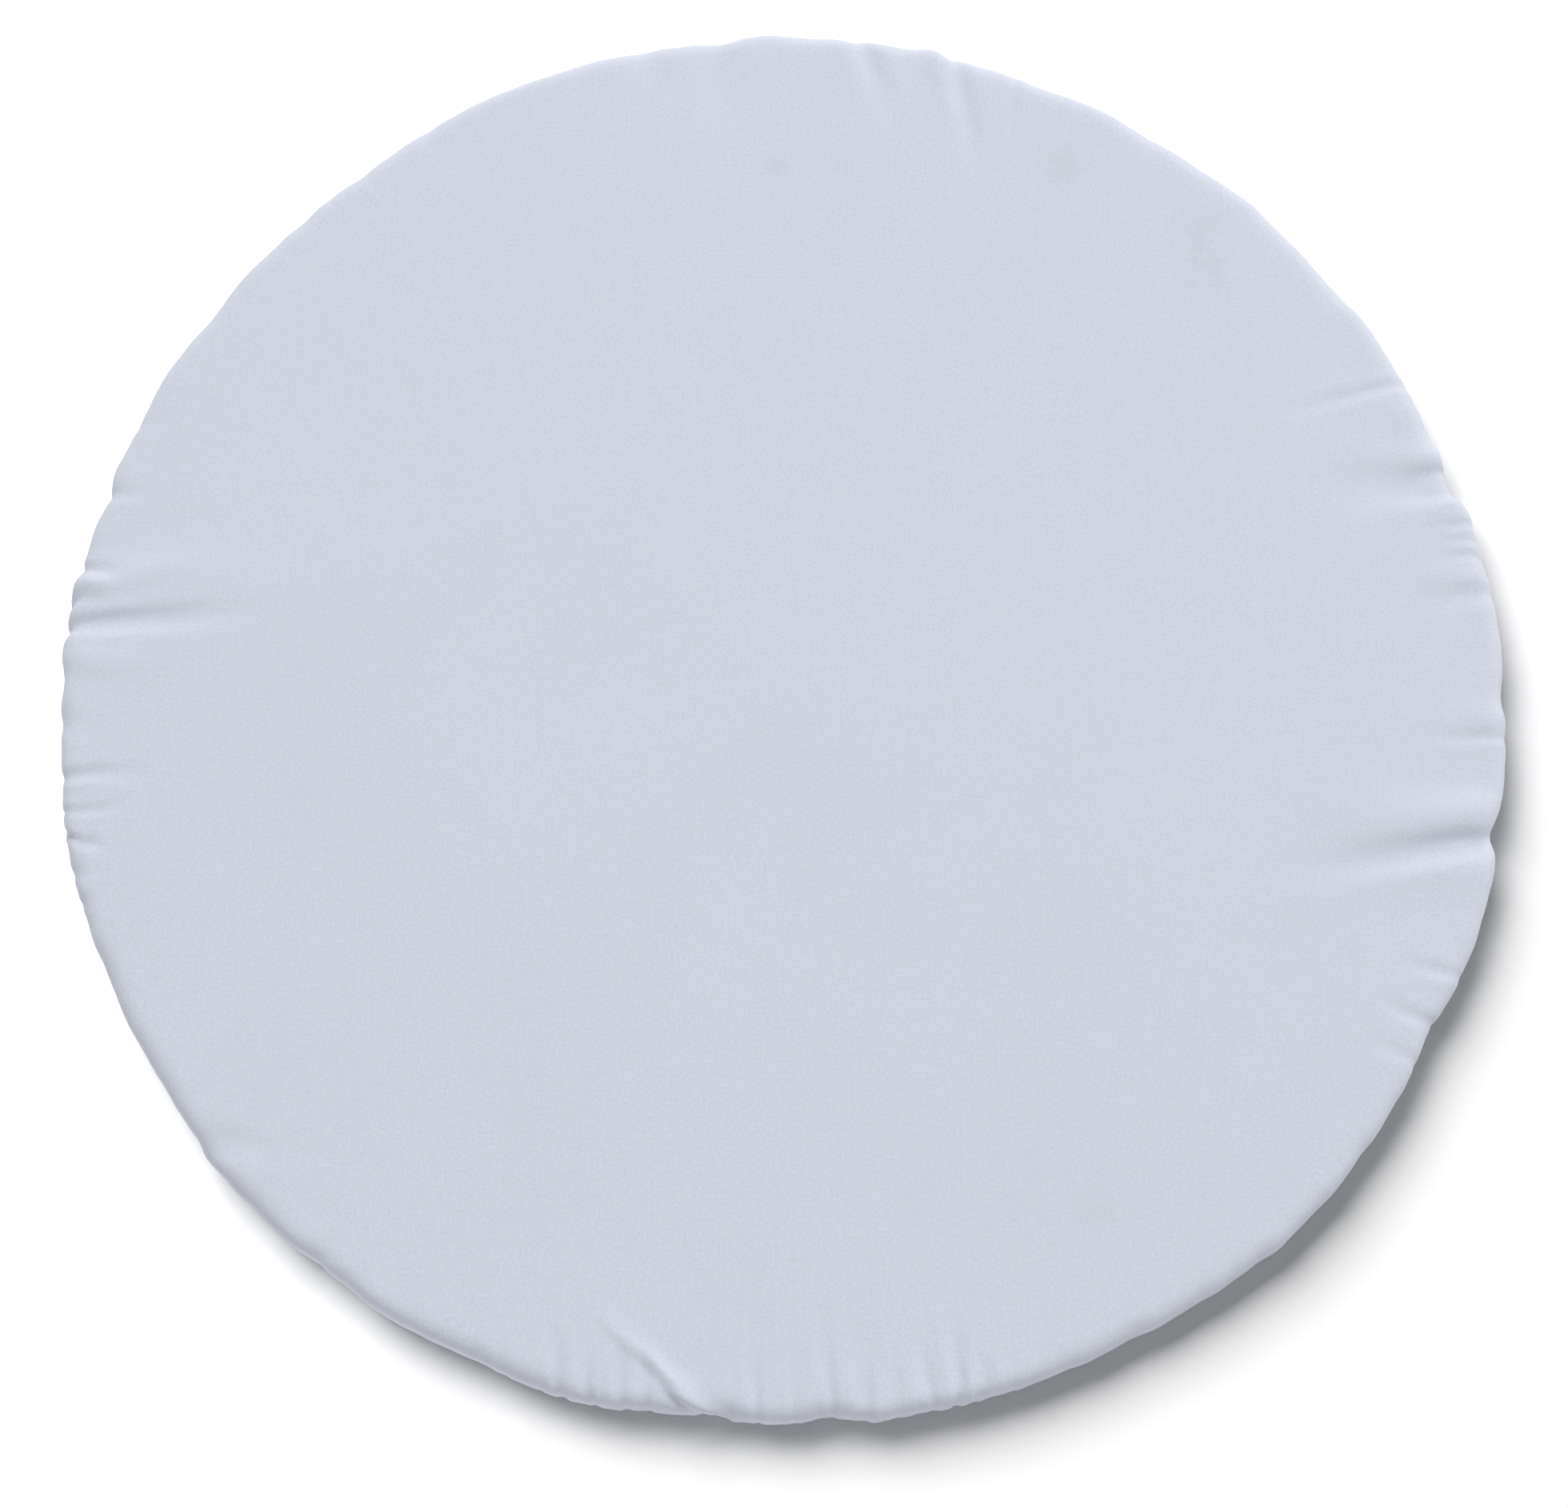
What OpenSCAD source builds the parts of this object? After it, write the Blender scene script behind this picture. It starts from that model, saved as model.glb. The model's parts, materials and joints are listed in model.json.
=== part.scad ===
// Collapsible round backdrop panel, lying face up on its back.
//
// A sprung steel hoop in a woven tunnel keeps a base cloth tight. A foam roll over the
// tunnel makes a soft rim, and a white slip cover wraps the face and the rim. Its hem,
// gathered by an elastic, grips the back. The panel folds face in, like a taco, along
// two lines beside the middle strip, so every ring and cloth is built in three lengths:
// left wing, middle strip and right wing.
//
// Frame: origin at the centre of the back, on the surface the panel lies on.
// +Z is the way the face looks, and +Y points to the edge that hangs uppermost.

/* [Panel] */
// Outside diameter of the panel over its cover
panel_d = 800; // [620:10:1000]
// Height of the padded rim over its cover
rim_h = 30; // [28:1:40]
// Width of the middle strip, between the two fold lines
strip_w = 90; // [70:2:130]

/* [Slip cover] */
// Thickness of the cover cloth with its stretch and lining
cover_t = 1; // [0.6:0.1:1.4]
// Width of the return on the back, from the middle of the rim to the hem
return_w = 62; // [45:1:90]
// Outside height of the hem casing
hem_h = 8; // [7:0.5:10]
// Outside width of the hem casing
hem_w = 10; // [9:0.5:14]
// Wall of the hem casing above and below the elastic
hem_wall = 1; // [0.6:0.1:1.4]
// Diameter of the elastic in the hem
elastic_d = 4; // [3:0.5:4]

/* [Hoop] */
// Height of the spring band
band_h = 10; // [8:0.5:12]
// Thickness of the spring band
band_t = 0.8; // [0.6:0.1:1.2]
// Wall of the crimped ferrule that joins the ends of the band
ferrule_t = 0.7; // [0.5:0.1:1]
// Length of the ferrule along the hoop
ferrule_len = 48; // [36:1:70]
// Diameter of the flush rivets
rivet_d = 3; // [2:0.5:4]

/* [Tunnel, base cloth and foam] */
// Thickness of the tunnel tape
tunnel_t = 1; // [0.6:0.1:1.4]
// Thickness of the base cloth
base_t = 0.8; // [0.5:0.1:1.2]

/* [Hanging tabs] */
// Distance of each tab from the middle of the panel
tab_x = 150; // [110:5:180]
// Distance of the tab hinges from the middle, towards the upper edge
tab_y = 240; // [200:5:250]
// Width of the webbing
tab_w = 26; // [22:1:32]
// Thickness of the webbing
tab_t = 2; // [1.5:0.1:2.5]
// Length of the free flap, from its hinge line
tab_len = 60; // [48:1:75]
// Length of the sewn-down end of the webbing
anchor_len = 22; // [15:1:26]
// Thickness of the reinforcing patch
patch_t = 1; // [0.6:0.1:1.4]
// Radius of the hole through the eyelet
eyelet_r = 5; // [3.5:0.5:6]
// Wall of the eyelet barrel
barrel_t = 0.8; // [0.5:0.1:1]
// Width of the eyelet flange and washer outside the barrel
flange_w = 3.6; // [2.5:0.1:4]
// Thickness of the eyelet flange and washer
flange_t = 0.8; // [0.5:0.1:1]

/* [Label] */
// Length of the blank sewn label
label_l = 44; // [30:1:60]
// Width of the blank sewn label
label_w = 20; // [14:1:30]
// Thickness of the blank sewn label
label_t = 0.4; // [0.3:0.1:0.6]

/* [Hidden] */
$fn = 96;
// Clearance between soft pieces that lie along each other
soft_gap = 0.3;
// Clearance of crimped and riveted metal
crimp_gap = 0.05;
// Clearance under a drooping flap
floor_gap = 0.5;
// Overrun of every cutting shape
cut = 1;

roll_r = rim_h / 2;
mid_z = roll_r;
roll_c = panel_d / 2 - roll_r;
hem_r = roll_c - return_w;

ferrule_w = band_t + 2 * (crimp_gap + ferrule_t);
ferrule_h = band_h + 2 * (crimp_gap + ferrule_t);
tunnel_in_w = ferrule_w + 2 * soft_gap;
tunnel_in_h = ferrule_h + 2 * soft_gap;
tunnel_w = tunnel_in_w + 2 * tunnel_t;
tunnel_h = tunnel_in_h + 2 * tunnel_t;
ferrule_deg = ferrule_len / roll_c * 180 / PI;
rivet_deg = ferrule_deg / 4;
butt_gap = 0.6;

pad_r = roll_r - cover_t - soft_gap;
base_r = roll_c - tunnel_w / 2;

elastic_r = elastic_d / 2;
crimp_t = 0.6;
crimp_len = 12;
hem_bore_r = hem_h / 2 - hem_wall;
elastic_c = hem_r - hem_w / 2;
elastic_z = hem_h / 2;
crimp_deg = crimp_len / elastic_c * 180 / PI;

patch_z = mid_z - base_t / 2 - patch_t;
patch_margin = 6;
tab_z = patch_z - soft_gap - tab_t / 2;
eyelet_margin = 4;
eyelet_y = tab_len - eyelet_margin - flange_r();
droop = asin((tab_z - tab_t / 2 - flange_t - floor_gap) / tab_len);
label_x = 190;
label_y = -150;

LEFT = -1;
STRIP = 0;
RIGHT = 1;

WHITE = [0.86, 0.87, 0.91];
CLOTH = [0.93, 0.93, 0.93];
FOAM = [0.72, 0.72, 0.70];
BLACK = [0.10, 0.10, 0.11];
STEEL = [0.55, 0.57, 0.60];
BRASS = [0.78, 0.62, 0.30];

// Outside radius of the eyelet's flange and of its washer.
function flange_r() = eyelet_r + barrel_t + flange_w;

// Keeps the length of its children that lies in one wing or in the middle strip.
module length_of(side) {
    reach = panel_d / 2 + cut;
    x0 = side == LEFT ? -reach : side == STRIP ? -strip_w / 2 : strip_w / 2;
    x1 = side == LEFT ? -strip_w / 2 : side == STRIP ? strip_w / 2 : reach;
    intersection() {
        children();
        translate([x0, -reach, -cut]) cube([x1 - x0, 2 * reach, rim_h + 2 * cut]);
    }
}

// A flat rectangle centred on the middle of the rim section.
module rim_rect(w, h) {
    translate([roll_c - w / 2, mid_z - h / 2]) square([w, h]);
}

// A sector of a ring, centred on the far left of the panel.
module left_sector(deg) {
    rotate([0, 0, 180 - deg / 2]) rotate_extrude(angle = deg) children();
}

// A radial rod through the hoop on the far left, at an angle from the joint.
module radial_rod(deg, d, half_len) {
    rotate([0, 0, 180 + deg]) translate([roll_c, 0, mid_z]) rotate([0, 90, 0])
        cylinder(h = 2 * half_len, d = d, center = true);
}

// ---- Slip cover ----

module cover_face(side) {
    color(WHITE) length_of(side)
        translate([0, 0, rim_h - cover_t]) cylinder(r = roll_c, h = cover_t);
}

module cover_edge(side) {
    color(WHITE) length_of(side) rotate_extrude() {
        translate([roll_c, mid_z]) difference() {
            circle(r = roll_r);
            circle(r = roll_r - cover_t);
            translate([-roll_r - cut, -roll_r - cut])
                square([roll_r + cut, 2 * (roll_r + cut)]);
        }
        translate([hem_r, 0]) square([return_w, cover_t]);
    }
}

module hem_casing(side) {
    color(WHITE) length_of(side) rotate_extrude() difference() {
        translate([hem_r - hem_w, 0]) square([hem_w, hem_h]);
        translate([elastic_c, elastic_z]) circle(r = hem_bore_r);
    }
}

module hem_elastic(side) {
    color(CLOTH) length_of(side) rotate_extrude()
        translate([elastic_c, elastic_z]) circle(r = elastic_r);
}

module elastic_crimp() {
    color(STEEL) left_sector(crimp_deg) translate([elastic_c, elastic_z]) difference() {
        circle(r = elastic_r + crimp_gap + crimp_t);
        circle(r = elastic_r + crimp_gap);
    }
}

// ---- Hoop, tunnel, foam and base cloth ----

module hoop(side) {
    color(STEEL) difference() {
        length_of(side) rotate_extrude() rim_rect(band_t, band_h);
        if (side == LEFT) {
            translate([-roll_c - band_t, -butt_gap / 2, mid_z - band_h])
                cube([2 * band_t, butt_gap, 2 * band_h]);
            for (s = [-1, 1])
                radial_rod(s * rivet_deg, rivet_d + 2 * crimp_gap, ferrule_w);
        }
    }
}

module hoop_ferrule() {
    color(STEEL) difference() {
        left_sector(ferrule_deg) difference() {
            rim_rect(ferrule_w, ferrule_h);
            rim_rect(band_t + 2 * crimp_gap, band_h + 2 * crimp_gap);
        }
        for (s = [-1, 1])
            radial_rod(s * rivet_deg, rivet_d + 2 * crimp_gap, ferrule_w);
    }
}

module ferrule_rivets() {
    color(STEEL) for (s = [-1, 1])
        radial_rod(s * rivet_deg, rivet_d, ferrule_w / 2);
}

module tunnel(side) {
    color(BLACK) length_of(side) rotate_extrude() difference() {
        rim_rect(tunnel_w, tunnel_h);
        rim_rect(tunnel_in_w, tunnel_in_h);
    }
}

module rim_foam(side) {
    color(FOAM) length_of(side) rotate_extrude() difference() {
        translate([roll_c, mid_z]) circle(r = pad_r);
        rim_rect(tunnel_w + 2 * soft_gap, tunnel_h + 2 * soft_gap);
        translate([roll_c - roll_r, mid_z - base_t / 2 - soft_gap])
            square([roll_r, base_t + 2 * soft_gap]);
    }
}

module base_cloth(side) {
    color(CLOTH) length_of(side)
        translate([0, 0, mid_z - base_t / 2]) cylinder(r = base_r, h = base_t);
}

// ---- Hanging tabs ----

module tab_patch(side) {
    w = tab_w + 2 * patch_margin;
    l = anchor_len + 2 * patch_margin;
    color(BLACK) translate([side * tab_x - w / 2, tab_y - patch_margin, patch_z])
        cube([w, l, patch_t]);
}

module tab_anchor(side) {
    y0 = tab_t + soft_gap;
    color(BLACK) translate([side * tab_x - tab_w / 2, tab_y + y0, patch_z - tab_t])
        cube([tab_w, anchor_len, tab_t]);
}

// Places a flap drawn along +Y from its hinge line: it points to the middle and droops.
module on_hinge(side) {
    translate([side * tab_x, tab_y, tab_z]) rotate([droop, 0, 0]) mirror([0, 1, 0])
        children();
}

module tab_flap(side) {
    color(BLACK) on_hinge(side) difference() {
        union() {
            translate([-tab_w / 2, 0, 0]) rotate([0, 90, 0]) cylinder(d = tab_t, h = tab_w);
            translate([-tab_w / 2, 0, -tab_t / 2]) cube([tab_w, tab_len, tab_t]);
        }
        translate([0, eyelet_y, -tab_t])
            cylinder(r = eyelet_r + barrel_t + crimp_gap, h = 2 * tab_t);
    }
}

module eyelet(side) {
    barrel_r = eyelet_r + barrel_t;
    color(BRASS) on_hinge(side) translate([0, eyelet_y, -tab_t / 2 - flange_t]) difference() {
        union() {
            cylinder(r = barrel_r, h = tab_t + 2 * flange_t);
            cylinder(r = flange_r(), h = flange_t);
        }
        translate([0, 0, -cut]) cylinder(r = eyelet_r, h = tab_t + 2 * flange_t + 2 * cut);
    }
}

module eyelet_washer(side) {
    color(BRASS) on_hinge(side) translate([0, eyelet_y, tab_t / 2]) difference() {
        cylinder(r = flange_r(), h = flange_t);
        translate([0, 0, -cut])
            cylinder(r = eyelet_r + barrel_t + crimp_gap, h = flange_t + 2 * cut);
    }
}

module blank_label() {
    color(CLOTH) translate([label_x - label_l / 2, label_y - label_w / 2, mid_z - base_t / 2 - label_t])
        cube([label_l, label_w, label_t]);
}

cover_face(LEFT);  // cover_face_left
cover_face(STRIP);  // cover_face_strip
cover_face(RIGHT);  // cover_face_right
cover_edge(LEFT);  // cover_edge_left
cover_edge(STRIP);  // cover_edge_strip
cover_edge(RIGHT);  // cover_edge_right
hem_casing(LEFT);  // hem_casing_left
hem_casing(STRIP);  // hem_casing_strip
hem_casing(RIGHT);  // hem_casing_right
hem_elastic(LEFT);  // hem_elastic_left
hem_elastic(STRIP);  // hem_elastic_strip
hem_elastic(RIGHT);  // hem_elastic_right
elastic_crimp();
hoop(LEFT);  // hoop_left
hoop(STRIP);  // hoop_strip
hoop(RIGHT);  // hoop_right
hoop_ferrule();
ferrule_rivets();
tunnel(LEFT);  // tunnel_left
tunnel(STRIP);  // tunnel_strip
tunnel(RIGHT);  // tunnel_right
rim_foam(LEFT);  // rim_foam_left
rim_foam(STRIP);  // rim_foam_strip
rim_foam(RIGHT);  // rim_foam_right
base_cloth(LEFT);  // base_cloth_left
base_cloth(STRIP);  // base_cloth_strip
base_cloth(RIGHT);  // base_cloth_right
tab_patch(LEFT);  // tab_patch_left
tab_patch(RIGHT);  // tab_patch_right
tab_anchor(LEFT);  // tab_anchor_left
tab_anchor(RIGHT);  // tab_anchor_right
tab_flap(LEFT);  // tab_flap_left
tab_flap(RIGHT);  // tab_flap_right
eyelet(LEFT);  // eyelet_left
eyelet(RIGHT);  // eyelet_right
eyelet_washer(LEFT);  // eyelet_washer_left
eyelet_washer(RIGHT);  // eyelet_washer_right
blank_label();
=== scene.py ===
"""Looks of a collapsible round backdrop panel in its white slip cover.

The panel lies face up on its back. Each sub-assembly is a class: the slip cover with its
gathered rim and elastic hem, the sprung hoop in its tunnel, the foam rim, the base cloth,
the hanging tabs and the sewn label. The wings fold over the face beside the middle strip,
so every ring and cloth is made whole and halved down the middle, and each half is left
in its resting shape.
"""

import sys
import json
import logging
import math
from dataclasses import dataclass, field
from enum import Enum
from typing import Callable, ClassVar, Mapping, Optional, Sequence, Union

import bpy
import numpy as np
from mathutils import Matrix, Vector


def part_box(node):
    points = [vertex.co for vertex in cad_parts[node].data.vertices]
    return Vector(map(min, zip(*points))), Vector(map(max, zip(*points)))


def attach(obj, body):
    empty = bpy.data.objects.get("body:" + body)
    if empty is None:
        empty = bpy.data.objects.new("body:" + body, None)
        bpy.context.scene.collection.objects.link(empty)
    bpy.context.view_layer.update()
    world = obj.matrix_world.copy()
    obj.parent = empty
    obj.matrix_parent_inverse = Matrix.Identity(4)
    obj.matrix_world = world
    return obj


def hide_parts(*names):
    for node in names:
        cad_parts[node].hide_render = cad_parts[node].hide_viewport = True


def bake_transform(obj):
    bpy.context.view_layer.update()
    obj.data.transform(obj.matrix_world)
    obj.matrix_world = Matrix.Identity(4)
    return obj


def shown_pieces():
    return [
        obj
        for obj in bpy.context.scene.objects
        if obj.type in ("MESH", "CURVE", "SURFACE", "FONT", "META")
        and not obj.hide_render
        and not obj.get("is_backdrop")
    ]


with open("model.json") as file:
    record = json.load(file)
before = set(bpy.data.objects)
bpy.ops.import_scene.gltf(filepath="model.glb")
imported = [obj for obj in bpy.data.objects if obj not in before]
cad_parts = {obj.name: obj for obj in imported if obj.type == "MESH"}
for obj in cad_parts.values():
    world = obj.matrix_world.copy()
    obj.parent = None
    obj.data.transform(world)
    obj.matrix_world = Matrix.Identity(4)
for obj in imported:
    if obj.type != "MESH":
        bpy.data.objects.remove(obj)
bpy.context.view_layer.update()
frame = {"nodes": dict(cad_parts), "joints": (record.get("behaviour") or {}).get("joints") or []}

log = logging.getLogger("backdrop_panel")

MM = 0.001
CUT = "cut"  # the mesh attribute with each point's place on the flat cloth, in metres
SQUARENESS = 0.66  # power that squares a round section; 1 leaves it round
ON_LINE = 1e-9  # how near the middle line a point counts as on it
TINY = 1e-12  # the shortest length that is divided by

Array = np.ndarray
Colour = tuple[float, float, float]
Operand = Union["Link", float, Sequence[float]]
Corner = tuple[float, float, float]


def mm(value: float) -> float:
    """Rounds a measured length to a tenth of a millimetre."""
    return round(value, 4)


def ease(low: float, high: float, value: Array) -> Array:
    """Rises smoothly from 0 at low to 1 at high."""
    share = np.clip((value - low) / (high - low), 0.0, 1.0)
    return share * share * (3.0 - 2.0 * share)


def squared(value: Array) -> Array:
    """Pushes a circle's sine or cosine outward, so that its section is squarer."""
    return np.sign(value) * np.abs(value) ** SQUARENESS


def ring_noise(angle: Array, count: int, seed: int) -> Array:
    """Smooth random values round a circle.

    Args:
        angle: Places round the circle, in radians.
        count: How many random values the circle holds.
        seed: Seed of the random values.

    Returns:
        A value from -1 to 1 at each angle, the same on every run.
    """
    values = np.random.default_rng(seed).uniform(-1.0, 1.0, count)
    place = (angle / math.tau % 1.0) * count
    low = np.floor(place).astype(int)
    share = ease(0.0, 1.0, place - low)
    return values[low % count] * (1.0 - share) + values[(low + 1) % count] * share


# ---- Shader expressions ----


class Link:
    """A shader socket that sums can be written with."""

    def __init__(self, plan: "NodePlan", socket: bpy.types.NodeSocket) -> None:
        """Keeps the socket and the node tree that its sums are added to."""
        self.plan = plan
        self.socket = socket

    def maths(self, operation: str, *values: Operand) -> "Link":
        """Adds one Math node and returns its result."""
        inputs = dict(enumerate(values))
        return self.plan.node("ShaderNodeMath", {"operation": operation}, inputs)

    def __add__(self, other: Operand) -> "Link":
        """This value plus another."""
        return self.maths("ADD", self, other)

    __radd__ = __add__

    def __sub__(self, other: Operand) -> "Link":
        """This value less another."""
        return self.maths("SUBTRACT", self, other)

    def __rsub__(self, other: Operand) -> "Link":
        """Another value less this one."""
        return self.maths("SUBTRACT", other, self)

    def __mul__(self, other: Operand) -> "Link":
        """This value times another."""
        return self.maths("MULTIPLY", self, other)

    __rmul__ = __mul__

    def __abs__(self) -> "Link":
        """The size of this value."""
        return self.maths("ABSOLUTE", self)

    def sine(self) -> "Link":
        """The sine of this value, in radians."""
        return self.maths("SINE", self)

    def between(self, low: float, high: float) -> "Link":
        """Rises smoothly from 0 where this value is low to 1 where it is high.

        Args:
            low: The value that gives 0.
            high: The value that gives 1.

        Returns:
            The share of the way from low to high, held between 0 and 1.
        """
        return self.plan.node(
            "ShaderNodeMapRange",
            {"interpolation_type": "SMOOTHSTEP"},
            {"Value": self, "From Min": low, "From Max": high},
        )


class NodePlan:
    """A node tree that is filled through one method."""

    def __init__(self, tree: bpy.types.NodeTree) -> None:
        """Keeps the tree and empties it."""
        self.tree = tree
        self.tree.nodes.clear()

    def node(
        self,
        kind: str,
        settings: Mapping[str, object],
        values: Mapping[Union[str, int], Operand],
        output: Union[str, int] = 0,
    ) -> Link:
        """Adds a node.

        Args:
            kind: The node's type.
            settings: Its properties, set before its sockets.
            values: A number, vector or link for each named or numbered socket.
            output: The socket that is returned.

        Returns:
            The node's output as a link.
        """
        made = self.tree.nodes.new(kind)
        for name, value in settings.items():
            setattr(made, name, value)
        for key, value in values.items():
            self.feed(made.inputs[key], value)
        return Link(self, made.outputs[output])

    def feed(self, socket: bpy.types.NodeSocket, value: Operand) -> None:
        """Links a value to a socket, or sets the socket to it.

        Args:
            socket: The socket to fill.
            value: A link, a number or a vector.
        """
        if isinstance(value, Link):
            self.tree.links.new(value.socket, socket)
        else:
            socket.default_value = value

    def end(self, kind: str, surface: Link) -> None:
        """Adds the tree's output node."""
        output = self.tree.nodes.new(kind)
        self.tree.links.new(surface.socket, output.inputs["Surface"])


class Recipe(NodePlan):
    """The node tree of one material, around one Principled shader."""

    def __init__(self, name: str) -> None:
        """Makes an empty material with its shader and output.

        Args:
            name: The material's name.
        """
        self.material = bpy.data.materials.new(name)
        self.material.use_nodes = True
        super().__init__(self.material.node_tree)
        shader = self.node("ShaderNodeBsdfPrincipled", {}, {}, "BSDF")
        self.shader = shader.socket.node
        self.end("ShaderNodeOutputMaterial", shader)

    def vector(self, operation: str, *values: Operand) -> Link:
        """Adds one Vector Math node and returns its result.

        Args:
            operation: The node's operation.
            values: Its vectors, or a vector and its scale.

        Returns:
            The resulting vector, or a number for a length.
        """
        settings = {"operation": operation}
        if operation == "SCALE":
            inputs = {"Vector": values[0], "Scale": values[1]}
            return self.node("ShaderNodeVectorMath", settings, inputs)
        output = "Value" if operation == "LENGTH" else 0
        return self.node("ShaderNodeVectorMath", settings, dict(enumerate(values)), output)

    def cut_place(self) -> Link:
        """Where a point lies on the flat cloth, in metres."""
        return self.node("ShaderNodeAttribute", {"attribute_name": CUT}, {}, "Vector")

    def rest_place(self) -> Link:
        """Where a point of a rigid piece lies, in metres."""
        return self.node("ShaderNodeTexCoord", {}, {}, "Object")

    def axes(self, place: Link) -> tuple[Link, Link, Link]:
        """The three parts of a vector.

        Args:
            place: The vector.

        Returns:
            Its X, Y and Z.
        """
        parts = [
            self.node("ShaderNodeSeparateXYZ", {}, {"Vector": place}, name)
            for name in "XYZ"
        ]
        return parts[0], parts[1], parts[2]

    def joined(self, x: Operand, y: Operand, z: Operand) -> Link:
        """A vector made of three values."""
        return self.node("ShaderNodeCombineXYZ", {}, {"X": x, "Y": y, "Z": z})

    def noise(self, place: Link, scale: float, detail: float = 2.0) -> Link:
        """Cloudy values from 0 to 1.

        Args:
            place: Where on the surface, in metres.
            scale: Clouds for each metre.
            detail: How many finer layers there are.

        Returns:
            The value at each place.
        """
        values = {"Vector": place, "Scale": scale, "Detail": detail}
        return self.node("ShaderNodeTexNoise", {}, values)

    def mix(self, factor: Operand, first: Operand, second: Operand) -> Link:
        """The first colour, turning to the second as factor rises to 1.

        Args:
            factor: Share of the second colour.
            first: The colour at 0.
            second: The colour at 1.

        Returns:
            The mixed colour.
        """
        colours = [
            (*c, 1.0) if not isinstance(c, Link) and len(c) == 3 else c
            for c in (first, second)
        ]
        values = {0: factor, 6: colours[0], 7: colours[1]}
        return self.node("ShaderNodeMix", {"data_type": "RGBA"}, values, 2)

    def bump(self, height: Link, depth: float, under: Optional[Link] = None) -> Link:
        """Raises a surface.

        Args:
            height: Height from 0 to 1.
            depth: What a height of 1 stands for, in metres.
            under: The normal of a bump that this one lies on, or None.

        Returns:
            The normal.
        """
        values = {"Height": height, "Distance": depth, "Strength": 1.0}
        if under is not None:
            values["Normal"] = under
        return self.node("ShaderNodeBump", {}, values, "Normal")

    def finish(self, **sockets: Operand) -> bpy.types.Material:
        """Feeds the shader's sockets and returns the material.

        Args:
            sockets: Values by socket name, with _ for a space.

        Returns:
            The finished material.
        """
        for name, value in sockets.items():
            socket = self.shader.inputs[name.replace("_", " ")]
            if not isinstance(value, Link) and socket.type == "RGBA":
                value = (*value, 1.0)
            self.feed(socket, value)
        return self.material


# ---- Finishes ----


@dataclass(frozen=True)
class Finish:
    """A surface finish: the record's material slot, and how its material is made."""

    slot: str
    colour: Colour
    made: ClassVar[dict[str, bpy.types.Material]] = {}

    @property
    def title(self) -> str:
        """The name of the finish's material."""
        return self.slot

    def material(self) -> bpy.types.Material:
        """The finish's material, made once.

        Returns:
            The material that all pieces of this finish share.
        """
        if self.title not in Finish.made:
            Finish.made[self.title] = self.build(Recipe(self.title))
        return Finish.made[self.title]

    def build(self, recipe: Recipe) -> bpy.types.Material:
        """Builds the material's nodes; each kind of finish has its own."""
        return recipe.finish(Base_Color=self.colour)

    def dress(self, piece: bpy.types.Object) -> None:
        """Gives a new piece this finish.

        Args:
            piece: The piece.
        """
        piece.data.materials.clear()
        piece.data.materials.append(self.material())

    def dress_node(self, name: str) -> None:
        """Gives a carried-over CAD node this finish."""
        for place in frame["nodes"][name].material_slots:
            place.material = self.material()

    def shade(self, amount: float) -> Colour:
        """The finish's colour, darker or lighter by a factor."""
        return tuple(min(1.0, c * amount) for c in self.colour)


@dataclass(frozen=True)
class PlainWeave(Finish):
    """Matt plain-woven cloth with slubs."""

    pitch: float = 0.45 * MM
    slub_depth: float = 0.05 * MM
    slub_fine: float = 1500.0
    slub_long: float = 55.0
    roughness: float = 0.92
    sheen: float = 0.15

    def weave(self, recipe: Recipe, place: Link) -> Link:
        """Height of the crossing threads, from 0 to 1.

        Args:
            recipe: The material's node tree.
            place: Where on the flat cloth, in metres.

        Returns:
            The height at each place.
        """
        across, along, _ = recipe.axes(place)
        turns = math.pi / self.pitch
        return 0.5 + 0.5 * ((across * turns).sine() * (along * turns).sine())

    def slubs(self, recipe: Recipe, place: Link) -> Link:
        """Thick places in the yarns, long and thin along both ways of the weave.

        Args:
            recipe: The material's node tree.
            place: Where on the flat cloth, in metres.

        Returns:
            How thick the yarns are, from 0 to 1.
        """
        across, along, _ = recipe.axes(place)
        fine, long = self.slub_fine, self.slub_long
        warp = recipe.noise(recipe.joined(across * fine, along * long, 0.0), 1.0, 1.0)
        weft = recipe.noise(recipe.joined(across * long, along * fine, 7.0), 1.0, 1.0)
        return 0.5 * warp + 0.5 * weft

    def build(self, recipe: Recipe) -> bpy.types.Material:
        """Cloth coloured by its slubs, with its threads raised.

        Args:
            recipe: The material's node tree.

        Returns:
            The finished material.
        """
        place = recipe.cut_place()
        slubs = self.slubs(recipe, place)
        height = 0.4 * self.weave(recipe, place) + 0.6 * slubs
        tone = slubs.between(0.35, 0.65)
        return recipe.finish(
            Base_Color=recipe.mix(tone, self.shade(0.975), self.shade(1.02)),
            Roughness=self.roughness,
            Sheen_Weight=self.sheen,
            Normal=recipe.bump(height, self.slub_depth),
        )


@dataclass(frozen=True)
class Smudge:
    """A faint mark on the face: its place and radius in millimetres."""

    x: float
    y: float
    radius: float
    stretch: float = 1.0


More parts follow.
